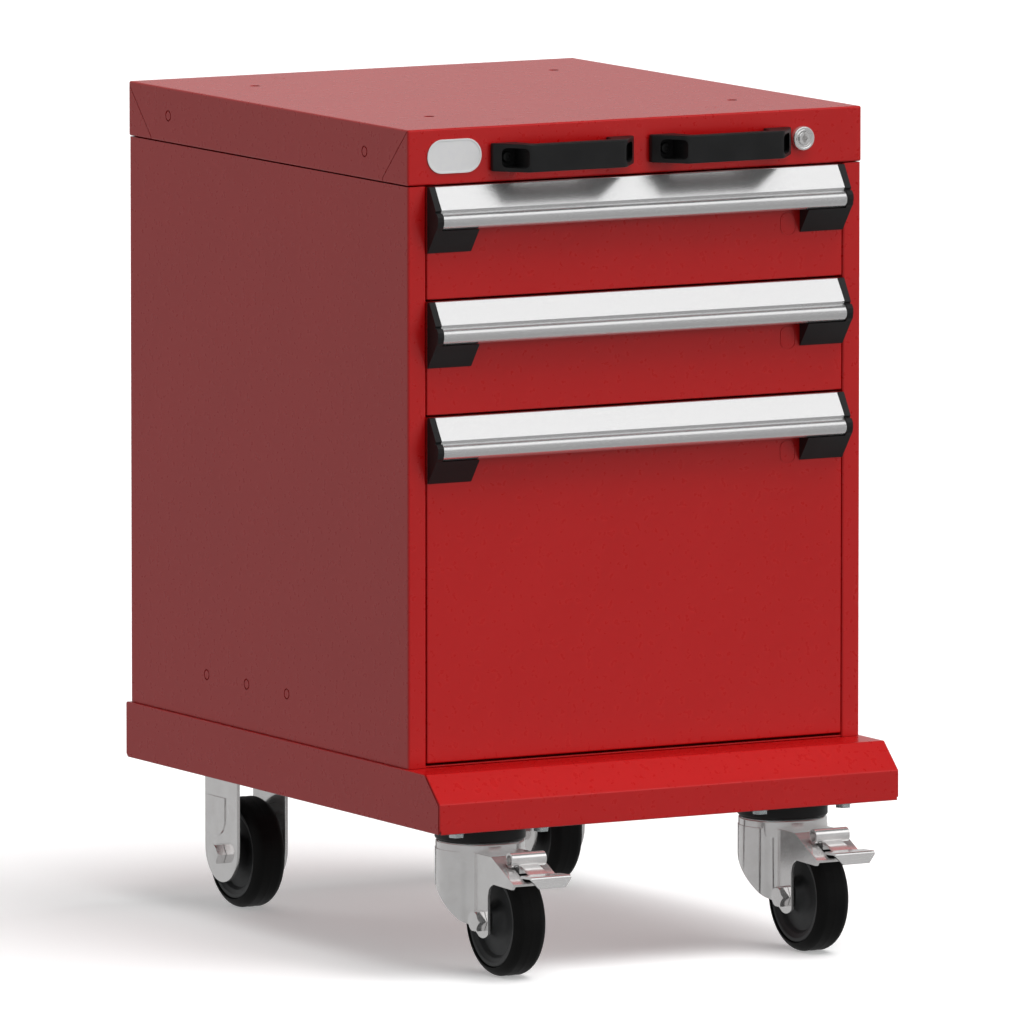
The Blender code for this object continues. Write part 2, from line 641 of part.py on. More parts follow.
def make_fork(parent, name):
    """A pressed fork: its outside is where its plan and its side view meet, and its inside is cut out."""
    outside = [(y - SWIVEL_OFFSET, z) for y, z in fork_side_view()]
    across = ("X", -CASTER_REACH, CASTER_REACH)
    fork = make_object(name, prism(outside, *across), CHROME, parent, smooth=True)
    combine(fork, "INTERSECT", prism(fork_plan(0.0), "Z", -CASTER_REACH, CASTER_REACH))
    (y0, z0), (y1, z1) = FORK_SLOPE
    slope = (z0 - z1) / (y0 - y1)
    drop = FORK_SHEET * math.hypot(1.0, slope)
    front = y1 - PAST
    ceiling = FORK_TOP - FORK_SHEET
    inside = [(SWIVEL_OFFSET, ceiling), (y0 + 1.0, ceiling)]
    inside += [(front, z1 - drop + slope * (front - y1)), (front, -CASTER_REACH)]
    inside.append((SWIVEL_OFFSET, -CASTER_REACH))
    inner = FORK_HALF - FORK_SHEET
    combine(fork, "DIFFERENCE", prism([(y - SWIVEL_OFFSET, z) for y, z in inside], "X", -inner, inner))
    wrap_inside = prism(fork_plan(FORK_SHEET)[1:-1], "Z", -CASTER_REACH, ceiling)
    combine(fork, "DIFFERENCE", wrap_inside)
    head = prism(circle(HEAD_RADIUS, ROUND_STEPS), "Z", FORK_TOP - 1.0, RING_Z[0] - GAP)
    combine(fork, "UNION", head)
    bore = prism(circle(KINGPIN_RADIUS + GAP, 16), "Z", FORK_TOP - PAST, RING_Z[1])
    combine(fork, "DIFFERENCE", bore)
    near, far = (y - SWIVEL_OFFSET for y in WINDOW_Y)
    low, high = z1 - PAST, FORK_TOP + PAST
    combine(fork, "DIFFERENCE", box((-WINDOW_HALF, near, low), (WINDOW_HALF, far, high)))
    hole = prism(circle(AXLE_RADIUS + GAP, 16, (-SWIVEL_OFFSET, 0)), *across)
    combine(fork, "DIFFERENCE", hole)


def make_pedal(parent, name):
    """The brake pedal: a sleeve on the pivot, a neck, a foot plate with a turned-down lip, and a shoe."""
    pivot_y, pivot_z = PEDAL_PIVOT
    outline = [(y - pivot_y, z - pivot_z) for y, z in PEDAL_TOP + PEDAL_UNDER]
    pedal = make_object(name, prism(outline, "X", -PEDAL_HALF, PEDAL_HALF), CHROME, parent, smooth=True)
    neck_end = PEDAL_NECK_END - pivot_y
    lip_y, lip_z = PEDAL_TOP[-1][0] - pivot_y, PEDAL_TOP[-1][1] - pivot_z
    for side in (-1, 1):
        xs = sorted((side * PEDAL_NECK_HALF, side * 2 * PEDAL_HALF))
        near, far = (xs[0], neck_end, -pivot_z), (xs[1], pivot_z, pivot_z)
        combine(pedal, "DIFFERENCE", box(near, far))
        corner = [(PEDAL_LIP_HALF, lip_z - 1.0), (PEDAL_HALF + 1.0, lip_z + 8.6)]
        corner.append((PEDAL_HALF + 1.0, lip_z - 1.0))
        corner = [(side * x, z) for x, z in corner]
        combine(pedal, "DIFFERENCE", prism(corner, "Y", lip_y - 5.0, lip_y + 15.0))
    tube = prism(circle(PEDAL_TUBE_RADIUS, 20), "X", -PEDAL_TUBE_HALF, PEDAL_TUBE_HALF)
    combine(pedal, "UNION", tube)
    half, (near, far), (low, high) = SHOE
    low_corner = (-half, near - pivot_y, low - pivot_z)
    combine(pedal, "UNION", box(low_corner, (half, far - pivot_y, high - pivot_z)))


def make_swivel_caster(frame, prefix, x):
    """The plate and kingpin stay with the cabinet; fork, ring, axle, wheel and pedal swivel."""
    swivel_y = FRONT_WHEEL_Y + SWIVEL_OFFSET
    top = -TRAY_HEIGHT - AXLE_Z
    plate = make_object(f"{prefix}_plate", mount_plate(top), ZINC, frame, (x, swivel_y, AXLE_Z))
    head_radius, head_low, head_high = KINGPIN_HEAD
    pin = prism(circle(KINGPIN_RADIUS, 16), "Z", head_low + 1, top - 1)
    combine(plate, "UNION", pin)
    combine(plate, "UNION", prism(circle(head_radius, 16), "Z", head_low, head_high))

    axis = make_empty(f"{prefix}_swivel_axis", (x, swivel_y, AXLE_Z), frame)
    low, high = RING_Z[0], min(RING_Z[1], top - MOUNT_PLATE[2] - GAP)
    section = [(RING_BORE, low), (RING_RADIUS - 1.4, low), (RING_RADIUS, low + 1.6)]
    section += [(RING_RADIUS, high), (RING_BORE, high)]
    make_object(f"{prefix}_dust_ring", turned(section, "Z", WHEEL_STEPS), BLACK, axis, smooth=True)
    make_fork(axis, f"{prefix}_fork")
    wheel_at = (0.0, -SWIVEL_OFFSET, 0.0)
    make_axle(axis, f"{prefix}_axle", FORK_HALF, wheel_at)
    make_wheel(axis, prefix, wheel_at)
    hinge_at = (0.0, PEDAL_PIVOT[0] - SWIVEL_OFFSET, PEDAL_PIVOT[1])
    hinge = make_empty(f"{prefix}_pedal_axis", hinge_at, axis)
    make_pedal(hinge, f"{prefix}_brake_pedal")


def make_rigid_caster(frame, prefix, x):
    """A fixed bracket of two rounded legs under a plate, with its axle and wheel."""
    at = (x, REAR_WHEEL_Y, AXLE_Z)
    top = -TRAY_HEIGHT - AXLE_Z
    bracket = make_object(f"{prefix}_bracket", mount_plate(top), CHROME, frame, at)
    half = BRACKET_LEG_HALF
    leg = [(half, top - 1), (-half, top - 1), (-half, BRACKET_STRAIGHT_TO)]
    depth = BRACKET_STRAIGHT_TO - BRACKET_TOE
    angles = [math.radians(180 + 180 * i / 12) for i in range(1, 12)]
    leg += [(half * math.cos(a), BRACKET_STRAIGHT_TO + depth * math.sin(a)) for a in angles]
    leg.append((half, BRACKET_STRAIGHT_TO))
    for side in (-1, 1):
        xs = sorted((side * (BRACKET_HALF - BRACKET_SHEET), side * BRACKET_HALF))
        combine(bracket, "UNION", prism(leg, "X", xs[0], xs[1]))
    across = ("X", -CASTER_REACH, CASTER_REACH)
    combine(bracket, "DIFFERENCE", prism(circle(AXLE_RADIUS + GAP, 16), *across))
    make_axle(frame, f"{prefix}_axle", BRACKET_HALF, at)
    make_wheel(frame, prefix, at)


def main():
    clear_scene()
    frame = make_empty("cabinet_frame", (0.0, FRAME_Y, FRAME_Z))
    make_lid(frame)
    make_side(frame, "left_side_panel", -1)
    make_side(frame, "right_side_panel", 1)
    make_back_and_bottom(frame)
    make_tray(frame)
    make_channel(frame, "front_caster_channel", FRONT_WHEEL_Y + SWIVEL_OFFSET)
    make_channel(frame, "rear_caster_channel", REAR_WHEEL_Y)
    for name, centre in zip(("left_push_handle", "right_push_handle"), HANDLE_CENTRES):
        make_push_handle(frame, name, centre)
    make_plate(frame)
    make_lock(frame)
    for name, bottom, top in DRAWERS:
        make_drawer(frame, name, bottom, top)
        make_rail(frame, f"{name}_left_rail", -1, bottom)
        make_rail(frame, f"{name}_right_rail", 1, bottom)
    for side, prefix in ((-1, "left"), (1, "right")):
        make_swivel_caster(frame, f"front_{prefix}", side * WHEEL_X)
        make_rigid_caster(frame, f"rear_{prefix}", side * WHEEL_X)


main()
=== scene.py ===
"""The looks of a red mobile workbench with three drawers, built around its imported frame.

Shapes are laid out in millimetres, as in the cabinet frame: X to the right, Y to the back from the
cabinet's front face, Z up from its underside. Caster pieces use their own swivel or axle point instead.
"""

import math

import bmesh
import bpy
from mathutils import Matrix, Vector


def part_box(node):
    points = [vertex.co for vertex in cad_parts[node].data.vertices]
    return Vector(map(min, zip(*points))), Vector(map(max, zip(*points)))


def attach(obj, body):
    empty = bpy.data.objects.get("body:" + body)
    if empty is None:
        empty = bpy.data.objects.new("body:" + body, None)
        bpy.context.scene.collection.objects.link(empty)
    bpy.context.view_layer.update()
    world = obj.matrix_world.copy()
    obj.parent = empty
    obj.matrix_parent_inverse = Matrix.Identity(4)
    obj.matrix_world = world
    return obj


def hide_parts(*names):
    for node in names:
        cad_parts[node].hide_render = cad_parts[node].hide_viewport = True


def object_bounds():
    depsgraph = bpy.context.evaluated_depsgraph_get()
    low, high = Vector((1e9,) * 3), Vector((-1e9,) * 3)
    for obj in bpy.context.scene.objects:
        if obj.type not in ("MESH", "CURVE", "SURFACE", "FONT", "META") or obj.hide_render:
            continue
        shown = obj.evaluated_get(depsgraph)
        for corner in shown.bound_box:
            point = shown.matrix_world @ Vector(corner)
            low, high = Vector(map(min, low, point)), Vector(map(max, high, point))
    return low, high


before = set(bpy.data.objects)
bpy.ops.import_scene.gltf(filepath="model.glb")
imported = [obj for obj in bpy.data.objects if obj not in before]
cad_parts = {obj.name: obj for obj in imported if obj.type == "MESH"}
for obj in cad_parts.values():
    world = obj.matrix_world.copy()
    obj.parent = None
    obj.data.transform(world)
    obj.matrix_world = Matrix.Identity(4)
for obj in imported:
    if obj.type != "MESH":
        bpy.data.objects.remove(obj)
CAD_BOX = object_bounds()

MM = 0.001
# The cabinet frame's origin in the world, in metres
CABINET = Vector((0.0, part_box("right_side_panel")[0].y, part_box("base_tray")[1].z))
SHEET = 1.5
FAR = 150.0  # farther out than a cutter needs to reach

DRAWERS = ("bottom_drawer", "middle_drawer", "top_drawer")
SIDES = ((-1, "left"), (1, "right"))

# Lid: four plain holes and four faint rings on its top, screw rings and mitre seams on its sides
LID_HOLE_RADIUS = 4.8
LID_MARKS = ((-100.0, 474.5), (104.0, 475.0), (-102.5, 47.0), (105.0, 51.0))
LID_HOLES = ((-152.5, 423.0), (-151.5, 101.5), (155.0, 424.0), (155.5, 101.5))
LID_SCREWS = ((445.0, 537.4), (78.5, 537.4))
SIDE_SCREWS = ((375.0, 41.0), (299.7, 41.0), (224.5, 41.0))
SEAM_WIDE, SEAM_DEEP = 0.8, 1.0

# Tray: the kick plate's slanted part and the side flanges
KICK_TOP = 37.9
KICK_DROP = 23.6
FLANGE_CHAMFER = 5.0

# Drawer handle, measured out of the front and down from its top edge
GRIP_SLANT = ((3.4, 0.9), (15.5, 19.4))
BEAD_CENTRE = (12.6, 29.6)
BEAD_RADIUS = 7.3
CAP_WIDTH = 6.0
RUNNER_RISE = 17.6  # from the tub's underside to its runners
KNOCK_OUT = (154.2, 50.6)  # its centre, right of the middle and down from the front's top

# Casters
SWIVEL_OFFSET = 46.0
HEX_FLATS = 17.0
PLATE_HALF = (52.0, 42.5)
PLATE_THICK = 3.5
PEDAL_PIVOT = (-37.0, 57.3)  # from the axle, back and up


# Light: name, elevation and azimuth in degrees, strength, width in degrees. AMBIENT is what matt
# surfaces get from all round; the walls, ceiling and panel are only seen in reflections.
SUNS = (
    ("high_front_light", 66, 0, 1.40, 40),
    ("high_right_light", 62, 60, 1.44, 40),
    ("low_right_light", 10, 45, 1.40, 50),
    ("low_front_light", 8, 0, 0.58, 50),
    ("left_fill_light", -12, -90, 0.76, 80),
    ("back_fill_light", 12, 180, 1.2, 60),
)
AMBIENT = (0.06, 0.06, 0.06, 1.0)
WHITE = (1.0, 1.0, 1.0, 1.0)
FLOOR_GLOW = 0.3
FLOOR_RADIUS = 40000.0
WALL_FRONT, WALL_BACK, WALL_LEFT = 0.33, 0.54, 0.42
CEILING_DARK, PANEL_BRIGHT = 0.03, 1.08


# ---------------------------------------------------------------- materials


def start_material(name, colour, roughness, metallic=0.0, **constants):
    """A new material with its node tree, and the shader's own constant values."""
    material = bpy.data.materials.new(name)
    material.use_nodes = True
    tree = material.node_tree
    shader = tree.nodes["Principled BSDF"]
    shader.inputs["Base Color"].default_value = (*colour, 1.0)
    shader.inputs["Roughness"].default_value = roughness
    shader.inputs["Metallic"].default_value = metallic
    for socket, value in constants.items():
        shader.inputs[socket.replace("_", " ")].default_value = value
    return material, tree, shader


def place_coordinates(tree, stretch=(1.0, 1.0, 1.0)):
    """The object's own coordinates, in metres, squeezed along chosen axes."""
    coordinates = tree.nodes.new("ShaderNodeTexCoord")
    mapping = tree.nodes.new("ShaderNodeMapping")
    mapping.inputs["Scale"].default_value = stretch
    tree.links.new(coordinates.outputs["Object"], mapping.inputs["Vector"])
    return mapping.outputs["Vector"]


def add_noise(tree, vector, per_metre, detail=3.0, roughness=0.5):
    noise = tree.nodes.new("ShaderNodeTexNoise")
    noise.inputs["Scale"].default_value = per_metre
    noise.inputs["Detail"].default_value = detail
    noise.inputs["Roughness"].default_value = roughness
    tree.links.new(vector, noise.inputs["Vector"])
    return noise.outputs["Fac"]


def add_range(tree, value, low, high, start=0.3, end=0.7):
    """Maps a noise value to the span from low to high."""
    node = tree.nodes.new("ShaderNodeMapRange")
    node.inputs["From Min"].default_value = start
    node.inputs["From Max"].default_value = end
    node.inputs["To Min"].default_value = low
    node.inputs["To Max"].default_value = high
    tree.links.new(value, node.inputs["Value"])
    return node.outputs["Result"]


def add_colours(tree, value, first, second, start=0.35, end=0.65):
    ramp = tree.nodes.new("ShaderNodeValToRGB")
    ramp.color_ramp.elements[0].position = start
    ramp.color_ramp.elements[0].color = (*first, 1.0)
    ramp.color_ramp.elements[1].position = end
    ramp.color_ramp.elements[1].color = (*second, 1.0)
    tree.links.new(value, ramp.inputs["Fac"])
    return ramp.outputs["Color"]


def add_bump(tree, shader, height, strength, distance):
    bump = tree.nodes.new("ShaderNodeBump")
    bump.inputs["Strength"].default_value = strength
    bump.inputs["Distance"].default_value = distance
    tree.links.new(height, bump.inputs["Height"])
    tree.links.new(bump.outputs["Normal"], shader.inputs["Normal"])


def red_powder_coat():
    """Baked powder coat: an even red with a very fine orange-peel and a soft gloss."""
    deep, full = (0.412, 0.0042, 0.0046), (0.424, 0.0048, 0.0052)
    material, tree, shader = start_material("red_powder_coat", full, 0.28, Specular_IOR_Level=0.5)
    place = place_coordinates(tree)
    shader_colour = add_colours(tree, add_noise(tree, place, 9.0, 4.0), deep, full)
    tree.links.new(shader_colour, shader.inputs["Base Color"])
    gloss = add_range(tree, add_noise(tree, place, 140.0, 3.0), 0.27, 0.29)
    tree.links.new(gloss, shader.inputs["Roughness"])
    add_bump(tree, shader, add_noise(tree, place, 900.0, 2.0), 0.015, 0.0001)
    return material


def brushed_aluminium():
    """Anodised aluminium with brush lines running along the handle."""
    dull, bright = (0.77, 0.77, 0.775), (0.83, 0.83, 0.83)
    material, tree, shader = start_material("brushed_aluminium", bright, 0.24, 0.85)
    lines = place_coordinates(tree, (0.15, 1.0, 1.0))
    brushed = add_noise(tree, lines, 1500.0, 2.0, 0.6)
    tree.links.new(add_colours(tree, brushed, dull, bright), shader.inputs["Base Color"])
    tree.links.new(add_range(tree, brushed, 0.22, 0.27), shader.inputs["Roughness"])
    add_bump(tree, shader, brushed, 0.02, 0.0001)
    return material


def moulded_plastic(name, dark, light, roughness, grain=1500.0, strength=0.12):
    """Moulded plastic with a fine spark-eroded grain and faint flow shading."""
    material, tree, shader = start_material(name, light, roughness, Specular_IOR_Level=0.28)
    place = place_coordinates(tree)
    flow = add_noise(tree, place, 45.0, 3.0)
    tree.links.new(add_colours(tree, flow, dark, light), shader.inputs["Base Color"])
    fine = add_noise(tree, place, grain, 2.0, 0.6)
    tree.links.new(add_range(tree, fine, roughness - 0.05, roughness + 0.06), shader.inputs["Roughness"])
    add_bump(tree, shader, fine, strength, 0.0002)
    return material


def tyre_rubber():
    """Black rubber: nearly matt, with a faint bloom in broad patches and a fine pitted skin."""
    black = (0.006, 0.006, 0.006)
    material, tree, shader = start_material("tyre_rubber", black, 0.62, Specular_IOR_Level=0.12)
    place = place_coordinates(tree)
    bloom = add_noise(tree, place, 60.0, 5.0, 0.6)
    tree.links.new(add_colours(tree, bloom, (0.0040, 0.0040, 0.0041), (0.0062, 0.0061, 0.0060)),
                   shader.inputs["Base Color"])
    tree.links.new(add_range(tree, bloom, 0.50, 0.66), shader.inputs["Roughness"])
    add_bump(tree, shader, add_noise(tree, place, 900.0, 3.0, 0.7), 0.25, 0.0002)
    return material


def plated_metal(name, dull, bright, smooth, rough, ripple=0.05):
    """Bright plating: small changes of tone and gloss over a very slightly wavy pressed sheet."""
    material, tree, shader = start_material(name, bright, smooth, 0.8)
    place = place_coordinates(tree)
    cloud = add_noise(tree, place, 55.0, 4.0, 0.6)
    tree.links.new(add_colours(tree, cloud, dull, bright), shader.inputs["Base Color"])
    scuff = add_noise(tree, place, 420.0, 3.0, 0.7)
    tree.links.new(add_range(tree, scuff, smooth, rough), shader.inputs["Roughness"])
    add_bump(tree, shader, add_noise(tree, place, 70.0, 2.0), ripple, 0.0006)
    return material


def galvanised_steel():
    """Hot-dip galvanised sheet with its spangle of pale and dark crystals."""
    material, tree, shader = start_material("galvanised_steel", (0.5, 0.5, 0.5), 0.4, 1.0)
    place = place_coordinates(tree)
    spangle = tree.nodes.new("ShaderNodeTexVoronoi")
    spangle.inputs["Scale"].default_value = 170.0
    tree.links.new(place, spangle.inputs["Vector"])
    tone = tree.nodes.new("ShaderNodeSeparateColor")
    tree.links.new(spangle.outputs["Color"], tone.inputs["Color"])
    dark, light = (0.43, 0.44, 0.45), (0.60, 0.61, 0.62)
    colour = add_colours(tree, tone.outputs["Red"], dark, light, 0.0, 1.0)
    tree.links.new(colour, shader.inputs["Base Color"])
    gloss = add_range(tree, tone.outputs["Green"], 0.30, 0.46, 0.0, 1.0)
    tree.links.new(gloss, shader.inputs["Roughness"])
    add_bump(tree, shader, add_noise(tree, place, 300.0, 3.0), 0.08, 0.0003)
    return material


def label_face():
    """A plain printed plate: pale satin film with a faint tooth."""
    material, tree, shader = start_material("label_face", (0.62, 0.62, 0.63), 0.34)
    place = place_coordinates(tree)
    film = add_noise(tree, place, 160.0, 4.0)
    tree.links.new(add_colours(tree, film, (0.64, 0.64, 0.65), (0.66, 0.66, 0.66)),
                   shader.inputs["Base Color"])
    tree.links.new(add_range(tree, film, 0.30, 0.40), shader.inputs["Roughness"])
    add_bump(tree, shader, add_noise(tree, place, 1400.0, 2.0), 0.08, 0.0001)
    return material


PAINT = red_powder_coat()
ALUMINIUM = brushed_aluminium()
PLASTIC = moulded_plastic("black_plastic", (0.0085, 0.0085, 0.0088), (0.0115, 0.0115, 0.0118), 0.44)
NYLON = moulded_plastic("grey_nylon", (0.030, 0.031, 0.032), (0.042, 0.043, 0.044), 0.46, 1100.0, 0.12)
RUBBER = tyre_rubber()
CHROME = plated_metal("polished_zinc", (0.86, 0.845, 0.84), (0.93, 0.92, 0.915), 0.10, 0.17)
ZINC = plated_metal("zinc_plated_steel", (0.74, 0.74, 0.74), (0.82, 0.82, 0.815), 0.18, 0.30)
BLUE_ZINC = plated_metal("blue_zinc", (0.60, 0.68, 0.70), (0.72, 0.78, 0.79), 0.20, 0.32)
STEEL = galvanised_steel()
LABEL = label_face()


# ---------------------------------------------------------------- mesh tools


def place(axis, along, a, b):
    """A point from its place along an axis and its two other coordinates, in their XYZ order."""
    return {"X": (along, a, b), "Y": (a, along, b), "Z": (a, b, along)}[axis]


def prism(outline, axis, low, high):
    bm = bmesh.new()
    rings = [[bm.verts.new(place(axis, along, a, b)) for a, b in outline] for along in (low, high)]
    bm.faces.new(rings[0])
    bm.faces.new(list(reversed(rings[1])))
    count = len(outline)
    for i in range(count):
        j = (i + 1) % count
        bm.faces.new((rings[0][i], rings[1][i], rings[1][j], rings[0][j]))
    return bm


def box(low, high):
    (x0, y0, z0), (x1, y1, z1) = low, high
    return prism([(x0, y0), (x1, y0), (x1, y1), (x0, y1)], "Z", z0, z1)


def arc(centre, radius, start, end, steps):
    """Points of an arc between two angles in degrees, both ends included."""
    angles = [math.radians(start + (end - start) * i / steps) for i in range(steps + 1)]
    return [(centre[0] + radius * math.cos(a), centre[1] + radius * math.sin(a)) for a in angles]


def circle(radius, steps, centre=(0.0, 0.0)):
    return arc(centre, radius, 0, 360 - 360 / steps, steps - 1)


def rounded_rectangle(half_a, half_b, radius, steps=8):
    points = []
    for turn, (side_a, side_b) in enumerate(((1, 1), (-1, 1), (-1, -1), (1, -1))):
        centre = (side_a * (half_a - radius), side_b * (half_b - radius))
        points += arc(centre, radius, 90 * turn, 90 * turn + 90, steps)
    return points


def filleted(points, radius, steps=5):
    """The closed outline with each corner replaced by an arc; `radius` may be one number per corner."""
    radii = radius if isinstance(radius, (list, tuple)) else [radius] * len(points)
    outline = []
    for i, (x, y) in enumerate(points):
        if radii[i] <= 0:
            outline.append((x, y))
            continue
        ways = []
        for other in (points[i - 1], points[(i + 1) % len(points)]):
            length = math.hypot(other[0] - x, other[1] - y)
            ways.append(((other[0] - x) / length, (other[1] - y) / length))
        (ax, ay), (bx, by) = ways
        half = math.acos(max(-1.0, min(1.0, ax * bx + ay * by))) / 2
        back = radii[i] / math.tan(half)
        middle_length = math.hypot(ax + bx, ay + by)
        reach = radii[i] / math.sin(half)
        centre = (x + (ax + bx) / middle_length * reach, y + (ay + by) / middle_length * reach)
        first = math.atan2(y + ay * back - centre[1], x + ax * back - centre[0])
        last = math.atan2(y + by * back - centre[1], x + bx * back - centre[0])
        sweep = (last - first + math.pi) % (2 * math.pi) - math.pi
        for step in range(steps + 1):
            angle = first + sweep * step / steps
            outline.append((centre[0] + radii[i] * math.cos(angle), centre[1] + radii[i] * math.sin(angle)))
    return outline


def turned(profile, axis, steps, centre=(0.0, 0.0, 0.0)):
    """A ring swept round an axis through `centre`; the profile's points are (radius, place along it)."""
    bm = bmesh.new()
    rings = []
    for i in range(steps):
        angle = 2 * math.pi * i / steps
        c, s = math.cos(angle), math.sin(angle)
        rings.append([bm.verts.new(Vector(place(axis, along, r * c, r * s)) + Vector(centre))
                      for r, along in profile])
    count = len(profile)
    for i, ring in enumerate(rings):
        following = rings[(i + 1) % steps]
        for j in range(count):
            k = (j + 1) % count
            bm.faces.new((ring[j], following[j], following[k], ring[k]))
    return bm


def thick_line(points, width):
    """The outline of a bent strip along a line of points, mitred where it bends."""
    sides = ([], [])
    for i, point in enumerate(points):
        before = Vector(points[max(i - 1, 0)])
        after = Vector(points[min(i + 1, len(points) - 1)])
        here = Vector(point)
        ways = [(here - before).normalized() if i else None,
                (after - here).normalized() if i < len(points) - 1 else None]
        ways = [way for way in ways if way is not None]
        normals = [Vector((-way.y, way.x)) for way in ways]
        mitre = sum(normals, Vector((0.0, 0.0))).normalized()
        reach = width / 2 / max(0.3, mitre.dot(normals[0]))
        sides[0].append(tuple(here + mitre * reach))
        sides[1].append(tuple(here - mitre * reach))
    return sides[0] + list(reversed(sides[1]))


def new_object(name, bm, origin):
    """A bmesh in millimetres, laid out around `origin`, as an object."""
    bmesh.ops.recalc_face_normals(bm, faces=bm.faces)
    bmesh.ops.scale(bm, vec=(MM, MM, MM), verts=bm.verts)
    mesh = bpy.data.meshes.new(name)
    bm.to_mesh(mesh)
    bm.free()
    obj = bpy.data.objects.new(name, mesh)
    bpy.context.scene.collection.objects.link(obj)
    obj.location = origin
    return obj


def settle(obj):
    """Replaces the object's mesh with what its modifiers make of it."""
    graph = bpy.context.evaluated_depsgraph_get()
    mesh = bpy.data.meshes.new_from_object(obj.evaluated_get(graph))
    obj.modifiers.clear()
    obj.data = mesh


def combine_object(obj, operation, helper):
    """Adds, cuts or intersects with another object, which is used up."""
    modifier = obj.modifiers.new("Boolean", "BOOLEAN")
    modifier.operation = operation
    modifier.solver = "EXACT"
    modifier.object = helper
    settle(obj)
    bpy.data.objects.remove(helper, do_unlink=True)


def combine(obj, operation, bm):
    combine_object(obj, operation, new_object("helper", bm, obj.location))


def cut(obj, *tools):
    for bm in tools:
        combine(obj, "DIFFERENCE", bm)


def join(obj, *tools):
    for bm in tools:
        combine(obj, "UNION", bm)


def round_edges(obj, width, segments=3, angle=38.0):
    """A small radius on every edge that turns by more than `angle` degrees."""
    bevel = obj.modifiers.new("Bevel", "BEVEL")
    bevel.width = width * MM
    bevel.segments = segments
    bevel.limit_method = "ANGLE"
    bevel.angle_limit = math.radians(angle)
    bevel.miter_outer = "MITER_ARC"
    bevel.use_clamp_overlap = True
    settle(obj)


def dress(obj, material, body, nodes=(), sharp=50.0):
    """Gives the piece its finish, shading and body, and hides the nodes that it stands for."""
    obj.data.materials.clear()
    obj.data.materials.append(material)
    obj.data.shade_smooth()
    obj.data.set_sharp_from_angle(angle=math.radians(sharp))
    weighted = obj.modifiers.new("Weighted normals", "WEIGHTED_NORMAL")
    weighted.keep_sharp = True
    weighted.weight = 80
    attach(obj, body)
    if nodes:
        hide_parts(*nodes)
    return obj


def node_box(node, origin=CABINET):
    """A CAD node's corners in millimetres round an origin."""
    low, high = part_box(node)
    return [(value - middle) / MM for value, middle in zip(low, origin)], [
        (value - middle) / MM for value, middle in zip(high, origin)]


def ring_groove(radius, width, axis, surface, depth, centre, steps=40):
    """A cutter for a ring-shaped groove whose open side is at `surface` along the axis."""
    near, far = surface - depth, surface + depth
    return turned([(radius - width, near), (radius, near), (radius, far), (radius - width, far)],
                  axis, steps, centre)


# ---------------------------------------------------------------- cabinet shell


def make_lid():
    low, high = node_box("top_cover")
    lid = new_object("lid", box(low, high), CABINET)
    round_edges(lid, 1.8, 4)
    inner_low = (low[0] + SHEET, low[1] + SHEET, low[2] - SHEET)
    cut(lid, box(inner_low, (high[0] - SHEET, high[1] - SHEET, high[2] - SHEET)))
    for x, y in LID_HOLES:
        cut(lid, prism(circle(LID_HOLE_RADIUS, 32, (x, y)), "Z", high[2] - 3 * SHEET, high[2] + SHEET))
    for x, y in LID_MARKS:
        cut(lid, ring_groove(5.0, 0.5, "Z", high[2], 0.35, (x, y, 0.0)))
    back, front = high[1] - 1.5, low[1] + 1.5
    shoulder = high[2] - 46.6
    seams = (
        [(back, high[2] - 3.6), (back - 41.0, shoulder), (back - 41.0, low[2] - 2.0)],
        [(front, high[2] - 1.2), (front + 44.0, shoulder + 1.6), (front + 45.6, low[2] - 2.0)],
    )
    for side, _ in SIDES:
        outer = side * high[0]
        for line in seams:
            strip = thick_line(line, SEAM_WIDE)
            cut(lid, prism(strip, "X", *sorted((outer - side * SEAM_DEEP, outer + side * SHEET))))
        for y, z in LID_SCREWS:
            cut(lid, ring_groove(5.1, 1.2, "X", outer, 1.3, (0.0, y, z)))
    lock_low, lock_high = node_box("lock_housing")
    centre = ((lock_low[0] + lock_high[0]) / 2, (lock_low[2] + lock_high[2]) / 2)
    cut(lid, prism(circle(9.3, 40, centre), "Y", low[1] - SHEET, low[1] + 3 * SHEET))
    dress(lid, PAINT, "cabinet", ["top_cover"])


def make_side(side, name):
    low, high = node_box(f"{name}_side_panel")
    outer = max(abs(low[0]), abs(high[0]))
    inner = min(abs(low[0]), abs(high[0]))
    back_return, stile_return = 18.0, 25.0
    depth = high[1]
    corners = [
        (outer, 0), (outer, depth), (outer - back_return, depth), (outer - back_return, depth - SHEET),
        (outer - SHEET, depth - SHEET), (outer - SHEET, SHEET), (inner + SHEET, SHEET),
        (inner + SHEET, stile_return), (inner, stile_return), (inner, 0),
    ]
    radii = [2.0, 2.0, 0, 0, 0.4, 0.4, 0.4, 0, 0, 2.0]
    outline = [(side * x, y) for x, y in filleted(corners, radii)]
    panel = new_object(f"{name}_side_sheet", prism(outline, "Z", low[2], high[2]), CABINET)
    for y, z in SIDE_SCREWS:
        cut(panel, ring_groove(5.0, 1.2, "X", side * outer, 1.3, (0.0, y, z)))
    dress(panel, PAINT, "cabinet", [f"{name}_side_panel"])


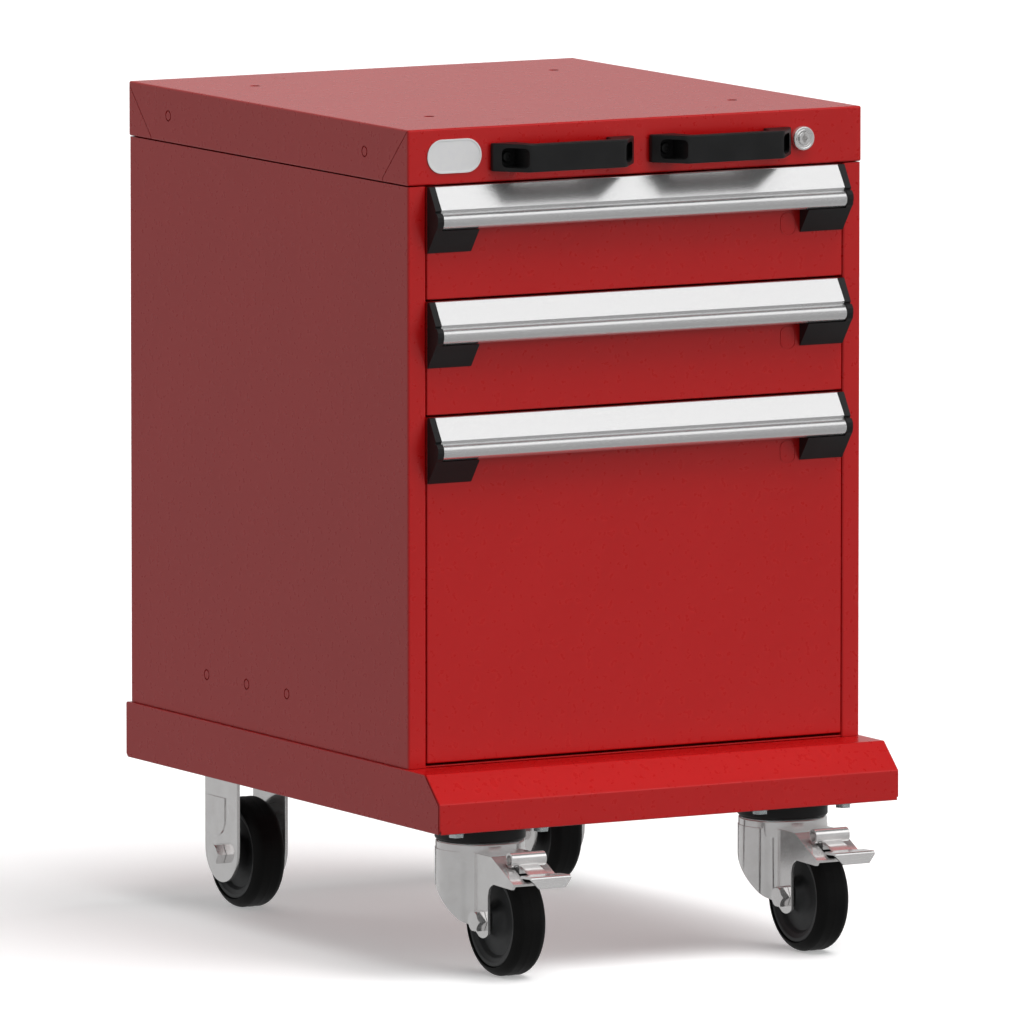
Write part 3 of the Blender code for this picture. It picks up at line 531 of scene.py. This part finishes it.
def make_tray():
    """The base tray: a folded sheet open below, with a slanted kick plate along its front."""
    low, high = node_box("base_tray")
    front, back, half, bottom = low[1], high[1], high[0], low[2]
    corners = [(-KICK_TOP, 0), (back, 0), (back, bottom), (front, bottom), (front, -KICK_DROP)]
    outline = filleted(corners, [2.0, 2.0, 0, 0, 2.4])
    tray = new_object("base_tray_sheet", prism(outline, "X", -half, half), CABINET)
    round_edges(tray, 0.9, 3, 80.0)
    inside = [(-KICK_TOP + 0.6, -SHEET), (back - SHEET, -SHEET), (back - SHEET, bottom - SHEET)]
    inside += [(front + SHEET, bottom - SHEET), (front + SHEET, -KICK_DROP - 0.6)]
    cut(tray, prism(inside, "X", -half + SHEET, half - SHEET))
    for side, _ in SIDES:
        flange = sorted((side * (half - SHEET - 0.1), side * (half + 1)))
        for corner, inward in ((front, 1), (back, -1)):
            chamfer = [(corner - inward, bottom - 1), (corner + inward * FLANGE_CHAMFER, bottom - 1)]
            chamfer += [(corner - inward, bottom + FLANGE_CHAMFER)]
            cut(tray, prism(chamfer, "X", *flange))
        seam = [(-KICK_TOP + 2.4, 0.4), (front + 2.0, -KICK_DROP - 0.8), (front + 2.0, bottom - 1.0)]
        edge = side * half
        cut(tray, prism(thick_line(seam, 1.4), "X", *sorted((edge - side * 1.2, edge + side))))
    dress(tray, PAINT, "cabinet", ["base_tray"])


def make_channels():
    """Two U channels under the tray, welded in and painted with it, that the casters bolt to."""
    for name in ("front_caster_channel", "rear_caster_channel"):
        low, high = node_box(name)
        sheet = 2.0
        outline = [(low[1], high[2]), (low[1], low[2]), (high[1], low[2]), (high[1], high[2])]
        outline += [(high[1] - sheet, high[2]), (high[1] - sheet, low[2] + sheet)]
        outline += [(low[1] + sheet, low[2] + sheet), (low[1] + sheet, high[2])]
        outline = filleted(outline, [0, 2.6, 2.6, 0, 0, 0.8, 0.8, 0])
        channel = new_object(f"{name}_sheet", prism(outline, "X", low[0], high[0]), CABINET)
        round_edges(channel, 0.3, 2)
        dress(channel, PAINT, "cabinet", [name])


# ---------------------------------------------------------------- lid fittings


def make_push_handle(side):
    """A moulded bridge handle with splayed legs and a deep screw pocket in each."""
    node = f"{side}_push_handle"
    low, high = node_box(node)
    middle = (low[0] + high[0]) / 2
    half, foot = (high[0] - low[0]) / 2, high[1]
    reach, shoulder, pad, bar, flat = foot - low[1], 4.5, 26.0, 10.0, 49.0
    right = [(half - pad, foot), (half, foot), (half, foot - shoulder), (flat, foot - reach)]
    under = [(half - pad, foot - shoulder), (flat - bar, foot - reach + bar)]
    outline = right + [(-x, y) for x, y in reversed(right)]
    outline += [(-x, y) for x, y in under] + list(reversed(under))
    outline = filleted(outline, [0, 0, 3.5, 7, 7, 3.5, 0, 0, 4, 5, 5, 4], 7)
    outline = [(x + middle, y) for x, y in outline]
    handle = new_object(f"{side}_bridge_handle", prism(outline, "Z", low[2], high[2]), CABINET)
    round_edges(handle, 1.3, 4)
    centre_z, wide, tall, floor = (low[2] + high[2]) / 2, 17.0, 17.6, 3.5
    screws = []
    for leg in (-1, 1):
        x = middle + leg * (half - pad / 2 - 1)
        pocket = rounded_rectangle(wide / 2, tall / 2, 4.0, 6)
        pocket = [(x + a, centre_z + b) for a, b in pocket]
        cut(handle, prism(pocket, "Y", foot - 2 * reach, foot - floor))
        screws.append((x, foot - floor, centre_z))
    dress(handle, PLASTIC, "cabinet", [node])
    for leg, spot in zip(("left", "right"), screws):
        make_cap_screw(f"{side}_handle_{leg}_screw", spot, PLASTIC)


def make_cap_screw(name, spot, material):
    """A socket-head screw that faces forward, its head on the pocket's floor."""
    radius, tall, socket = 5.0, 3.4, 2.4
    x, y, z = spot
    profile = [(0.01, -tall + 1.8), (socket, -tall + 1.8), (socket, -tall), (radius - 0.8, -tall)]
    profile += [(radius, -tall + 0.8), (radius, -0.05), (0.01, -0.05)]
    screw = new_object(name, turned(profile, "Y", 24, (x, y, z)), CABINET)
    weld_axis(screw)
    dress(screw, material, "cabinet")


def weld_axis(obj):
    """Welds the tiny ring on a turned shape's axis to one point."""
    bm = bmesh.new()
    bm.from_mesh(obj.data)
    bmesh.ops.remove_doubles(bm, verts=bm.verts, dist=0.03 * MM)
    bmesh.ops.recalc_face_normals(bm, faces=bm.faces)
    bm.to_mesh(obj.data)
    bm.free()


def make_label():
    """A blank name plate with a thin raised rim."""
    low, high = node_box("blank_plate")
    x, z = (low[0] + high[0]) / 2, (low[2] + high[2]) / 2
    half_x, half_z = (high[0] - low[0]) / 2, (high[2] - low[2]) / 2
    outline = [(x + a, z + b) for a, b in rounded_rectangle(half_x, half_z, half_z - 0.1, 16)]
    plate = new_object("name_plate", prism(outline, "Y", low[1], high[1]), CABINET)
    recess = [(x + a, z + b) for a, b in rounded_rectangle(half_x - 1.6, half_z - 1.6, half_z - 1.7, 16)]
    cut(plate, prism(recess, "Y", low[1] - 1.0, low[1] + 0.3))
    round_edges(plate, 0.15, 2)
    dress(plate, LABEL, "cabinet", ["blank_plate"])


def make_lock():
    """The lock's ringed housing, and its barrel with a diamond-shaped keyhole."""
    low, high = node_box("lock_housing")
    centre = ((low[0] + high[0]) / 2, 0.0, (low[2] + high[2]) / 2)
    front, back = low[1], high[1]
    flange, neck, bore, thick = 10.7, 8.8, 6.2, 4.8
    profile = [(bore, front + 0.5), (bore + 0.4, front + 0.1), (flange - 3.2, front)]
    profile += [(flange - 2.6, front + 0.5), (flange - 2.0, front + 0.1)]
    profile += arc((flange - 1.6, front + 1.6), 1.6, -90, 0, 6)
    profile += [(flange, front + thick), (neck, front + thick), (neck, back), (bore, back)]
    housing = new_object("lock_housing_turned", turned(profile, "Y", 64, centre), CABINET)
    dress(housing, CHROME, "cabinet", ["lock_housing"], 40.0)

    low, high = node_box("lock_barrel")
    radius, front = 5.9, low[1]
    profile = [(0.01, front), (radius - 0.5, front), (radius, front + 0.5)]
    profile += [(radius, high[1]), (0.01, high[1])]
    barrel = new_object("lock_barrel_turned", turned(profile, "Y", 48, centre), CABINET)
    weld_axis(barrel)
    x, _, z = centre
    diamond = [(x, z - 4.9), (x + 3.1, z), (x, z + 4.9), (x - 3.1, z)]
    cut(barrel, prism(filleted(diamond, 0.5, 3), "Y", front - 1.0, front + 7.0))
    dress(barrel, CHROME, "lock", ["lock_barrel"], 40.0)


# ---------------------------------------------------------------- drawers


def grip_outline(top):
    """The handle's section as (Y, Z): thin lip, slanted face, two steps, rounded bead and back flange."""
    (slant_y, slant_z), (nose_y, nose_z) = GRIP_SLANT
    outer = [(0.3, 0.0), (slant_y - 0.9, 0.0), (slant_y - 0.2, 0.3), (slant_y, slant_z)]
    outer += [(nose_y, nose_z), (nose_y - 0.3, nose_z + 0.4), (nose_y - 0.9, nose_z + 0.6)]
    outer += [(nose_y - 0.9, nose_z + 1.5), (nose_y - 1.4, nose_z + 1.7), (nose_y - 1.4, nose_z + 3.1)]
    outer += arc(BEAD_CENTRE, BEAD_RADIUS, -64, 62, 16)
    inner = [(14.6, 36.9), (13.9, 36.1), (12.2, 24.0), (12.2, 20.6), (2.8, 4.6), (2.8, 14.0), (0.3, 14.0)]
    return [(-y, top - z) for y, z in outer + inner]


def cap_outline(top):
    """The end cap's cheek, just proud of the handle, with a notch between its two parts."""
    points = [(0.3, 0.0), (4.0, 0.0), (16.0, 20.0), (14.9, 21.2), (14.9, 22.2)]
    points += [(17.4, 22.0), (20.0, 25.4), (20.4, 29.5), (19.2, 34.6), (16.8, 37.2)]
    points += [(1.1, 58.3), (0.3, 58.3)]
    radii = [0, 0.8, 0.8, 0.2, 0.2, 0.8, 2.0, 2.0, 2.0, 0.6, 0.3, 0]
    return filleted([(-y, top - z) for y, z in points], radii, 4)


def make_drawer_front(drawer):
    low, high = node_box(f"{drawer}_front")
    sheet = 1.2
    front = new_object(f"{drawer}_front_sheet", box(low, high), CABINET)
    round_edges(front, 1.3, 4)
    inner_low = (low[0] + sheet, low[1] + sheet, low[2] + sheet)
    cut(front, box(inner_low, (high[0] - sheet, high[1] + FAR, high[2] - sheet)))
    x, z = KNOCK_OUT[0], high[2] - KNOCK_OUT[1]
    half_wide, half_tall, radius, half_line = 7.5, 10.0, 6.5, 0.3
    outlines = []
    for grow in (half_line, -half_line):
        ring = rounded_rectangle(half_wide + grow, half_tall + grow, radius + grow, 8)
        outlines.append([(x + a, z + b) for a, b in ring])
    cut(front, prism(outlines[0], "Y", low[1] - 1.0, low[1] + 0.45))
    join(front, prism(outlines[1], "Y", low[1], low[1] + 0.9))
    dress(front, PAINT, drawer, [f"{drawer}_front"])


def make_drawer_grip(drawer):
    low, high = node_box(f"{drawer}_handle")
    top = high[2]
    grip = new_object(f"{drawer}_grip", prism(grip_outline(top), "X", low[0], high[0]), CABINET)
    dress(grip, ALUMINIUM, drawer, [f"{drawer}_handle"], 24.0)
    for side, name in SIDES:
        node = f"{drawer}_{name}_cap"
        low, high = node_box(node)
        outer = max(abs(low[0]), abs(high[0]))
        cheek = sorted((side * (outer - CAP_WIDTH), side * outer))
        cap = new_object(f"{node}_moulding", prism(cap_outline(top), "X", *cheek), CABINET)
        reach = sorted((side * min(abs(low[0]), abs(high[0])), side * (outer - CAP_WIDTH / 2)))
        wedge = [(-0.3, top - 37.5), (-16.6, top - 37.5), (-1.1, top - 58.3), (-0.3, top - 58.3)]
        join(cap, prism(wedge, "X", *reach))
        round_edges(cap, 0.5, 3)
        dress(cap, PLASTIC, drawer, [node])


def make_drawer_box(drawer):
    """An open steel tub with rounded rims and a runner along each side."""
    low, high = node_box(f"{drawer}_box")
    sheet, half = 1.2, 200.0
    tub = new_object(f"{drawer}_tub", box((-half, low[1], low[2]), (half, high[1], high[2])), CABINET)
    round_edges(tub, 1.6, 3)
    inner_low = (-half + sheet, low[1] + sheet, low[2] + sheet)
    cut(tub, box(inner_low, (half - sheet, high[1] - sheet, high[2] + 9)))
    runner_front, runner_bottom, runner_thick = 40.0, low[2] + RUNNER_RISE, 5.0
    for side, _ in SIDES:
        xs = sorted((side * (half - sheet / 2), side * high[0]))
        runner_low = (xs[0], runner_front, runner_bottom)
        join(tub, box(runner_low, (xs[1], high[1] - sheet, runner_bottom + runner_thick)))
    dress(tub, STEEL, drawer, [f"{drawer}_box"])


# ---------------------------------------------------------------- casters


def hexagon(flats, centre=(0.0, 0.0)):
    return circle(flats / math.sqrt(3), 6, centre)


def make_axle(name, body, nodes, origin, half):
    """A bolt through the wheel with a chamfered hexagon and a round collar at each end."""
    shank, thick = 5.0, 8.6
    axle = new_object(name, prism(circle(shank, 32), "X", -half - 1, half + 1), origin)
    corner = HEX_FLATS / math.sqrt(3)
    for side, _ in SIDES:
        near, far = side * (half + 0.3), side * (half + 0.3 + thick)
        head = new_object("head", prism(hexagon(HEX_FLATS), "X", *sorted((near, far))), origin)
        dome = [(0.01, near), (corner + 1, near), (corner + 1, far - side * 3.0)]
        dome += [(HEX_FLATS / 2 + 0.2, far - side * 0.1), (HEX_FLATS / 2 - 1.0, far), (0.01, far)]
        limit = new_object("limit", turned(dome, "X", 48), origin)
        weld_axis(limit)
        combine_object(head, "INTERSECT", limit)
        combine_object(axle, "UNION", head)
    round_edges(axle, 0.25, 2)
    dress(axle, CHROME, body, nodes)


def make_wheel(prefix, body, origin):
    """A nylon hub with a boss, a dished web and a rim, and a crowned rubber tyre."""
    half = [(5.4, 19.0), (10.4, 19.0), (11.2, 18.4), (12.6, 14.6), (14.6, 11.4), (17.0, 9.6), (20.0, 8.7)]
    half += [(30.4, 8.0), (31.6, 8.2), (32.4, 9.0), (33.6, 11.4), (34.4, 12.2), (36.6, 13.1), (37.4, 14.0)]
    half += [(38.4, 14.6), (40.9, 14.6), (41.5, 14.0)]
    profile = half + [(radius, -along) for radius, along in reversed(half)]
    hub = new_object(f"{prefix}_hub_moulding", turned(profile, "X", 72), origin)
    dress(hub, NYLON, body, [f"{prefix}_hub"], 32.0)
    side, shoulder, radius = 16.0, 9.5, 50.0
    centre = (radius - shoulder, side - shoulder)
    half = [(41.8, side - 1.0), (42.1, side - 0.3), (42.8, side)]
    half += arc(centre, shoulder, 62, 8, 8) + [(radius - 0.35, 2.6), (radius - 0.03, 1.0)]
    profile = half + [(r, -along) for r, along in reversed(half)]
    tyre = new_object(f"{prefix}_tyre_moulding", turned(profile, "X", 96), origin)
    dress(tyre, RUBBER, body, [f"{prefix}_tyre"], 60.0)


def make_top_plate(prefix, origin, top):
    """A swivel caster's top plate with its kingpin and the pin's head inside the fork."""
    sheet = prism(rounded_rectangle(*PLATE_HALF, 8.0), "Z", top - PLATE_THICK, top)
    plate = new_object(f"{prefix}_top_plate", sheet, origin)
    pin, head, head_low, head_high = 6.0, 10.0, 47.0, 52.0
    join(plate, prism(circle(pin, 32), "Z", head_low + 1, top - 1))
    join(plate, prism(circle(head, 32), "Z", head_low, head_high))
    round_edges(plate, 0.4, 2)
    dress(plate, ZINC, "cabinet", [f"{prefix}_plate"])


def fork_side_view():
    """The fork from its side, round the outside, as (Y, Z) points from the axle."""
    beak = [(-54.0, 33.5), (-20.4, 34.3), (-12.6, 30.0), (-10.5, 22.0)]
    toe = arc((0, 0), 15.5, 225, 290, 10)
    heel = [(22.0, -4.0), (47.5, 17.0), (68.6, 34.0), (90.0, 51.0), (FAR, 51.0)]
    points = [(FAR, 58.5), (-17.0, 58.5), (-58.0, 38.5)] + beak
    rounded = filleted(points + [toe[0]], [0, 1.2, 0.8, 0.8, 6.0, 8.0, 3.0, 0], 6)
    return rounded + toe[1:] + heel


def fork_plan(inset):
    """The fork from above, as (X, Y) points from the swivel axis, moved in by the sheet's thickness."""
    half, radius = 24.0 - inset, 40.0 - inset
    waist = (33.4 - inset, -22.0 + inset / 2)
    start = math.degrees(math.atan2(waist[1], waist[0]))
    right = [(half, -FAR), (half, -28.0 + inset / 2)]
    right += arc((0, 0), radius, start, 90, 24)[:-1]
    outline = right + [(0.0, radius)] + [(-x, y) for x, y in reversed(right)]
    corner = 10.0 if inset == 0 else 7.5
    radii = [0.0] * len(outline)
    radii[1] = radii[-2] = corner
    radii[2] = radii[-3] = 12.0
    return filleted(outline, radii, 6)


def make_fork(prefix, origin):
    """A pressed and polished fork: a round head, a wrap behind, two legs and a sloping front plate."""
    sheet, top = 2.5, 58.5
    outside = [(y - SWIVEL_OFFSET, z) for y, z in fork_side_view()]
    fork = new_object(f"{prefix}_fork_pressing", prism(outside, "X", -FAR, FAR), origin)
    combine(fork, "INTERSECT", prism(fork_plan(0.0), "Z", -FAR, FAR))
    round_edges(fork, 1.1, 3, 60.0)
    head = [(0.01, top - 8.0), (39.5, top - 8.0)] + arc((36.7, 63.4), 2.8, 0, 90, 6) + [(0.01, 66.2)]
    dome = new_object("dome", turned(head, "Z", 96), origin)
    weld_axis(dome)
    combine_object(fork, "UNION", dome)
    (y0, z0), (y1, z1) = (-17.0, 58.5), (-58.0, 38.5)
    slope = (z0 - z1) / (y0 - y1)
    drop = sheet * math.hypot(1.0, slope)
    front, ceiling = y1 - 10.0, top - sheet
    inside = [(SWIVEL_OFFSET, ceiling), (y0 + 1.0, ceiling)]
    inside += [(front, z1 - drop + slope * (front - y1)), (front, -FAR), (SWIVEL_OFFSET, -FAR)]
    inner = 24.0 - sheet
    cut(fork, prism([(y - SWIVEL_OFFSET, z) for y, z in inside], "X", -inner, inner))
    cut(fork, prism(fork_plan(sheet)[1:-1], "Z", -FAR, ceiling))
    cut(fork, prism(circle(6.3, 32), "Z", top - 10.0, top + 10.0))
    half_window, window_front, window_back = 11.5, -56.0 - SWIVEL_OFFSET, -26.0 - SWIVEL_OFFSET
    window = [(-half_window, window_front), (half_window, window_front)]
    window += [(half_window, window_back), (-half_window, window_back)]
    cut(fork, prism(filleted(window, 1.5, 4), "Z", 28.0, top + 10.0))
    cut(fork, prism(circle(5.3, 32, (-SWIVEL_OFFSET, 0)), "X", -FAR, FAR))
    dress(fork, CHROME, f"{prefix}_swivel", [f"{prefix}_fork"], 30.0)


def make_dust_ring(prefix, origin):
    low, high = node_box(f"{prefix}_dust_ring", origin)
    radius, bore = high[0], 14.0
    profile = [(bore, low[2]), (radius - 2.2, low[2])] + arc((radius - 1.8, low[2] + 1.8), 1.8, -80, 0, 6)
    profile += [(radius, high[2] - 1.0), (radius - 0.8, high[2]), (bore, high[2])]
    ring = new_object(f"{prefix}_seal_ring", turned(profile, "Z", 96), origin)
    dress(ring, PLASTIC, f"{prefix}_swivel", [f"{prefix}_dust_ring"])


def make_pedal(prefix, origin):
    """The brake pedal: a cross tube, a neck, a foot plate with a turned-down lip, and a brake shoe."""
    pivot_y, pivot_z = PEDAL_PIVOT
    top = [(-36.0, 55.2), (-61.0, 46.9), (-81.6, 48.0), (-84.2, 37.5)]
    under = [(-82.1, 37.2), (-79.8, 45.7), (-61.0, 44.6), (-36.0, 52.6)]
    outline = filleted(top + under, [0, 6.0, 2.6, 0.6, 0.6, 0.8, 6.0, 0], 5)
    outline = [(y - pivot_y, z - pivot_z) for y, z in outline]
    half, neck, neck_end, lip_half = 20.0, 9.0, -62.5 - pivot_y, 12.5
    lip_y, lip_z = -84.2 - pivot_y, 37.5 - pivot_z
    pedal = new_object(f"{prefix}_pedal_pressing", prism(outline, "X", -half, half), origin)
    for side, _ in SIDES:
        beside = [(neck, 30.0), (neck, neck_end + 3.0), (neck + 3.0, neck_end)]
        beside += [(2 * half, neck_end), (2 * half, 30.0)]
        beside = [(side * x, y) for x, y in beside]
        cut(pedal, prism(filleted(beside, [0, 2.0, 2.0, 0, 0], 4), "Z", -FAR, FAR))
        corner = [(lip_half, lip_z - 1.0), (half + 1.0, lip_z + 8.6), (half + 1.0, lip_z - 1.0)]
        cut(pedal, prism([(side * x, z) for x, z in corner], "Y", lip_y - 5.0, lip_y + 15.0))
    round_edges(pedal, 0.45, 3)
    tube_radius, tube_half, bore, bore_floor = 6.5, 17.0, 4.6, 9.0
    join(pedal, prism(circle(tube_radius, 48), "X", -tube_half, tube_half))
    for side, _ in SIDES:
        cut(pedal, prism(circle(bore, 32), "X", *sorted((side * bore_floor, side * 20.0))))
    shoe_front, shoe_back = -41.0 - pivot_y, -32.0 - pivot_y
    shoe = [(shoe_front, -11.8), (shoe_back, -11.8), (shoe_back, -3.3), (shoe_front, -3.3)]
    join(pedal, prism(shoe, "X", -9.0, 9.0))
    round_edges(pedal, 0.3, 2, 60.0)
    dress(pedal, CHROME, f"{prefix}_pedal", [f"{prefix}_brake_pedal"], 30.0)


def make_bracket(prefix, origin):
    """A rigid bracket: a plate and two legs with rounded ends, each pressed with a tongue-shaped panel."""
    half, sheet, leg_half, top = 26.0, 3.0, 30.5, 81.7
    plate = prism(rounded_rectangle(*PLATE_HALF, 8.0), "Z", top - PLATE_THICK, top)
    bracket = new_object(f"{prefix}_bracket_pressing", plate, origin)
    leg = [(leg_half, top - 1), (-leg_half, top - 1), (-leg_half, 4.0)]
    leg += [(leg_half * math.cos(a), 4.0 + 30.0 * math.sin(a))
            for a in (math.radians(180 + 180 * i / 28) for i in range(1, 28))]
    leg.append((leg_half, 4.0))
    tongue = [(-8.0, 51.0), (-8.0, 32.0)] + arc((9.5, 32.5), 17.5, 180, 360, 18) + [(27.0, 51.0)]
    for side, _ in SIDES:
        join(bracket, prism(leg, "X", *sorted((side * (half - sheet), side * half))))
        panel = sorted((side * (half - 0.9), side * (half + 1.0)))
        cut(bracket, prism(tongue, "X", *panel))
    cut(bracket, prism(circle(5.3, 32), "X", -FAR, FAR))
    round_edges(bracket, 0.45, 3)
    dress(bracket, CHROME, "cabinet", [f"{prefix}_bracket"], 30.0)


def make_mount_bolts(prefix, origin, top):
    """Four hexagon bolts with washer faces under the corners of a caster's top plate."""
    for number, (x, y) in enumerate(((-42.5, -33.5), (42.5, -33.5), (42.5, 33.5), (-42.5, 33.5)), 1):
        bolt = new_object(f"{prefix}_mount_bolt_{number}",
                          prism(hexagon(12.6, (x, y)), "Z", top - 4.8, top - 1.2), origin)
        round_edges(bolt, 0.5, 2, 50.0)
        washer = [(0.01, top - 1.5), (7.4, top - 1.5), (8.1, top - 1.0), (8.1, top - 0.1), (0.01, top - 0.1)]
        disc = new_object("disc", turned(washer, "Z", 32, (x, y, 0.0)), origin)
        weld_axis(disc)
        combine_object(bolt, "UNION", disc)
        dress(bolt, BLUE_ZINC, "cabinet", (), 40.0)


def make_casters():
    tray_bottom = node_box("base_tray")[0][2]
    for side, name in SIDES:
        prefix = f"front_{name}"
        axle_low, axle_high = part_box(f"{prefix}_axle")
        axle = (axle_low + axle_high) / 2
        swivel = Vector((axle.x, axle.y + SWIVEL_OFFSET * MM, axle.z))
        top = tray_bottom + (CABINET.z - axle.z) / MM
        make_top_plate(prefix, swivel, top)
        make_mount_bolts(prefix, swivel, top - PLATE_THICK)
        make_dust_ring(prefix, swivel)
        make_fork(prefix, swivel)
        make_axle(f"{prefix}_axle_bolt", f"{prefix}_swivel", [f"{prefix}_axle"], axle, 24.0)
        make_wheel(prefix, f"{prefix}_wheel", axle)
        pivot = axle + Vector((0.0, *PEDAL_PIVOT)) * MM
        make_pedal(prefix, pivot)

        prefix = f"rear_{name}"
        axle_low, axle_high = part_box(f"{prefix}_axle")
        axle = (axle_low + axle_high) / 2
        make_bracket(prefix, axle)
        make_mount_bolts(prefix, axle, top - PLATE_THICK)
        make_axle(f"{prefix}_axle_bolt", "cabinet", [f"{prefix}_axle"], axle, 26.0)
        make_wheel(prefix, f"{prefix}_wheel", axle)


# ---------------------------------------------------------------- carried-over nodes


def finish_carried_nodes():
    """CAD nodes that stay as they are get a material, and a small radius on their sheet edges."""
    finishes = {"back_panel": PAINT, "bottom_panel": PAINT, "lock_cam": STEEL, "lock_bar": STEEL}
    for drawer in DRAWERS:
        for _, name in SIDES:
            finishes[f"{drawer}_{name}_rail"] = STEEL
    for node, material in finishes.items():
        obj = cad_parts[node]
        obj.data.materials.clear()
        obj.data.materials.append(material)
        weld = obj.modifiers.new("Weld", "WELD")
        weld.merge_threshold = 0.01 * MM
        bevel = obj.modifiers.new("Bevel", "BEVEL")
        bevel.width = 0.4 * MM
        bevel.segments = 2
        bevel.limit_method = "ANGLE"
        bevel.angle_limit = math.radians(40)


# ---------------------------------------------------------------- stage


def add_sun(name, elevation, azimuth, strength, angle):
    """A wide soft light; an azimuth of 0 degrees is straight ahead of the cabinet, 90 at its right."""
    height, around = math.radians(elevation), math.radians(azimuth)
    flat = math.cos(height)
    towards = Vector((flat * math.sin(around), -flat * math.cos(around), math.sin(height)))
    light = bpy.data.lights.new(name, "SUN")
    light.energy = strength
    light.angle = math.radians(angle)
    obj = bpy.data.objects.new(name, light)
    obj.rotation_euler = towards.to_track_quat("Z", "Y").to_euler()
    obj.visible_glossy = False
    bpy.context.scene.collection.objects.link(obj)


def ramp(tree, value, start, end, low=0.0, high=1.0):
    """A smooth step from low to high as the value goes from start to end."""
    node = tree.nodes.new("ShaderNodeMapRange")
    node.interpolation_type = "SMOOTHSTEP"
    for socket, number in (("From Min", start), ("From Max", end), ("To Min", low), ("To Max", high)):
        node.inputs[socket].default_value = number
    tree.links.new(value, node.inputs["Value"])
    return node.outputs["Result"]


def blend(tree, factor, first, second):
    """Mixes two numbers, each a constant or an output."""
    node = tree.nodes.new("ShaderNodeMix")
    tree.links.new(factor, node.inputs["Factor"])
    for socket, value in (("A", first), ("B", second)):
        if isinstance(value, float):
            node.inputs[socket].default_value = value
        else:
            tree.links.new(value, node.inputs[socket])
    return node.outputs["Result"]


def mix_backgrounds(tree, factor, first, second):
    """One of two backgrounds; each is a colour, a number output or a shader output."""
    mix = tree.nodes.new("ShaderNodeMixShader")
    tree.links.new(factor, mix.inputs["Fac"])
    for socket, value in ((mix.inputs[1], first), (mix.inputs[2], second)):
        if not isinstance(value, tuple) and value.type == "SHADER":
            tree.links.new(value, socket)
            continue
        background = tree.nodes.new("ShaderNodeBackground")
        if isinstance(value, tuple):
            background.inputs["Color"].default_value = value
        else:
            tree.links.new(value, background.inputs["Color"])
        tree.links.new(background.outputs["Background"], socket)
    return mix.outputs["Shader"]


def reflected_room(tree):
    """What glossy surfaces see: pale walls, a bright panel high in front and a dark ceiling."""
    coordinates = tree.nodes.new("ShaderNodeTexCoord")
    split = tree.nodes.new("ShaderNodeSeparateXYZ")
    tree.links.new(coordinates.outputs["Generated"], split.inputs["Vector"])
    walls = ramp(tree, split.outputs["Y"], -0.9, 0.9, WALL_FRONT, WALL_BACK)
    walls = blend(tree, ramp(tree, split.outputs["X"], -0.1, -0.9), walls, WALL_LEFT)
    ceiling = blend(tree, ramp(tree, split.outputs["Y"], -0.18, -0.34), CEILING_DARK, PANEL_BRIGHT)
    return blend(tree, ramp(tree, split.outputs["Z"], 0.40, 0.62), walls, ceiling)


def make_stage():
    world = bpy.data.worlds.new("studio")
    bpy.context.scene.world = world
    world.use_nodes = True
    tree = world.node_tree
    tree.nodes.clear()
    output = tree.nodes.new("ShaderNodeOutputWorld")
    rays = tree.nodes.new("ShaderNodeLightPath")
    around = mix_backgrounds(tree, rays.outputs["Is Glossy Ray"], AMBIENT, reflected_room(tree))
    whole = mix_backgrounds(tree, rays.outputs["Is Camera Ray"], around, WHITE)
    tree.links.new(whole, output.inputs["Surface"])
    for name, elevation, azimuth, strength, angle in SUNS:
        add_sun(name, elevation, azimuth, strength, angle)

    disc = prism(circle(FLOOR_RADIUS, 64), "Z", -20.0, 0.0)
    floor = new_object("floor", disc, (0.0, 0.0, CAD_BOX[0].z))
    material, tree, shader = start_material("pale_floor", (0.86, 0.86, 0.86), 0.9, Specular_IOR_Level=0.0)
    mottle = add_noise(tree, place_coordinates(tree), 3.0, 3.0)
    colour = add_colours(tree, mottle, (0.85, 0.85, 0.85), (0.87, 0.87, 0.87))
    tree.links.new(colour, shader.inputs["Base Color"])
    shader.inputs["Emission Color"].default_value = WHITE
    shader.inputs["Emission Strength"].default_value = FLOOR_GLOW
    floor.data.materials.append(material)
    floor.visible_diffuse = False
    floor.visible_glossy = False
    floor.visible_shadow = False


def make_camera():
    """A long lens from the front left, a little above the lid."""
    yaw, pitch = math.radians(29.144), math.radians(6.935)
    distance, target = 14.9645, Vector((0.0146, 0.0506, 0.3685))
    forward = Vector((math.sin(yaw) * math.cos(pitch), math.cos(yaw) * math.cos(pitch), -math.sin(pitch)))
    data = bpy.data.cameras.new("camera")
    data.sensor_width = 36.0
    data.lens = 588.11
    data.clip_end = 200.0
    camera = bpy.data.objects.new("camera", data)
    camera.location = target - forward * distance
    camera.rotation_euler = (math.pi / 2 - pitch, 0.0, -yaw)
    bpy.context.scene.collection.objects.link(camera)
    bpy.context.scene.camera = camera
    bpy.context.scene.view_settings.view_transform = "Standard"


# ---------------------------------------------------------------- making


make_stage()
make_camera()
make_lid()
for hand, hand_name in SIDES:
    make_side(hand, hand_name)
    make_push_handle(hand_name)
make_tray()
make_channels()
make_label()
make_lock()
for drawer_name in DRAWERS:
    make_drawer_front(drawer_name)
    make_drawer_grip(drawer_name)
    make_drawer_box(drawer_name)
make_casters()
finish_carried_nodes()
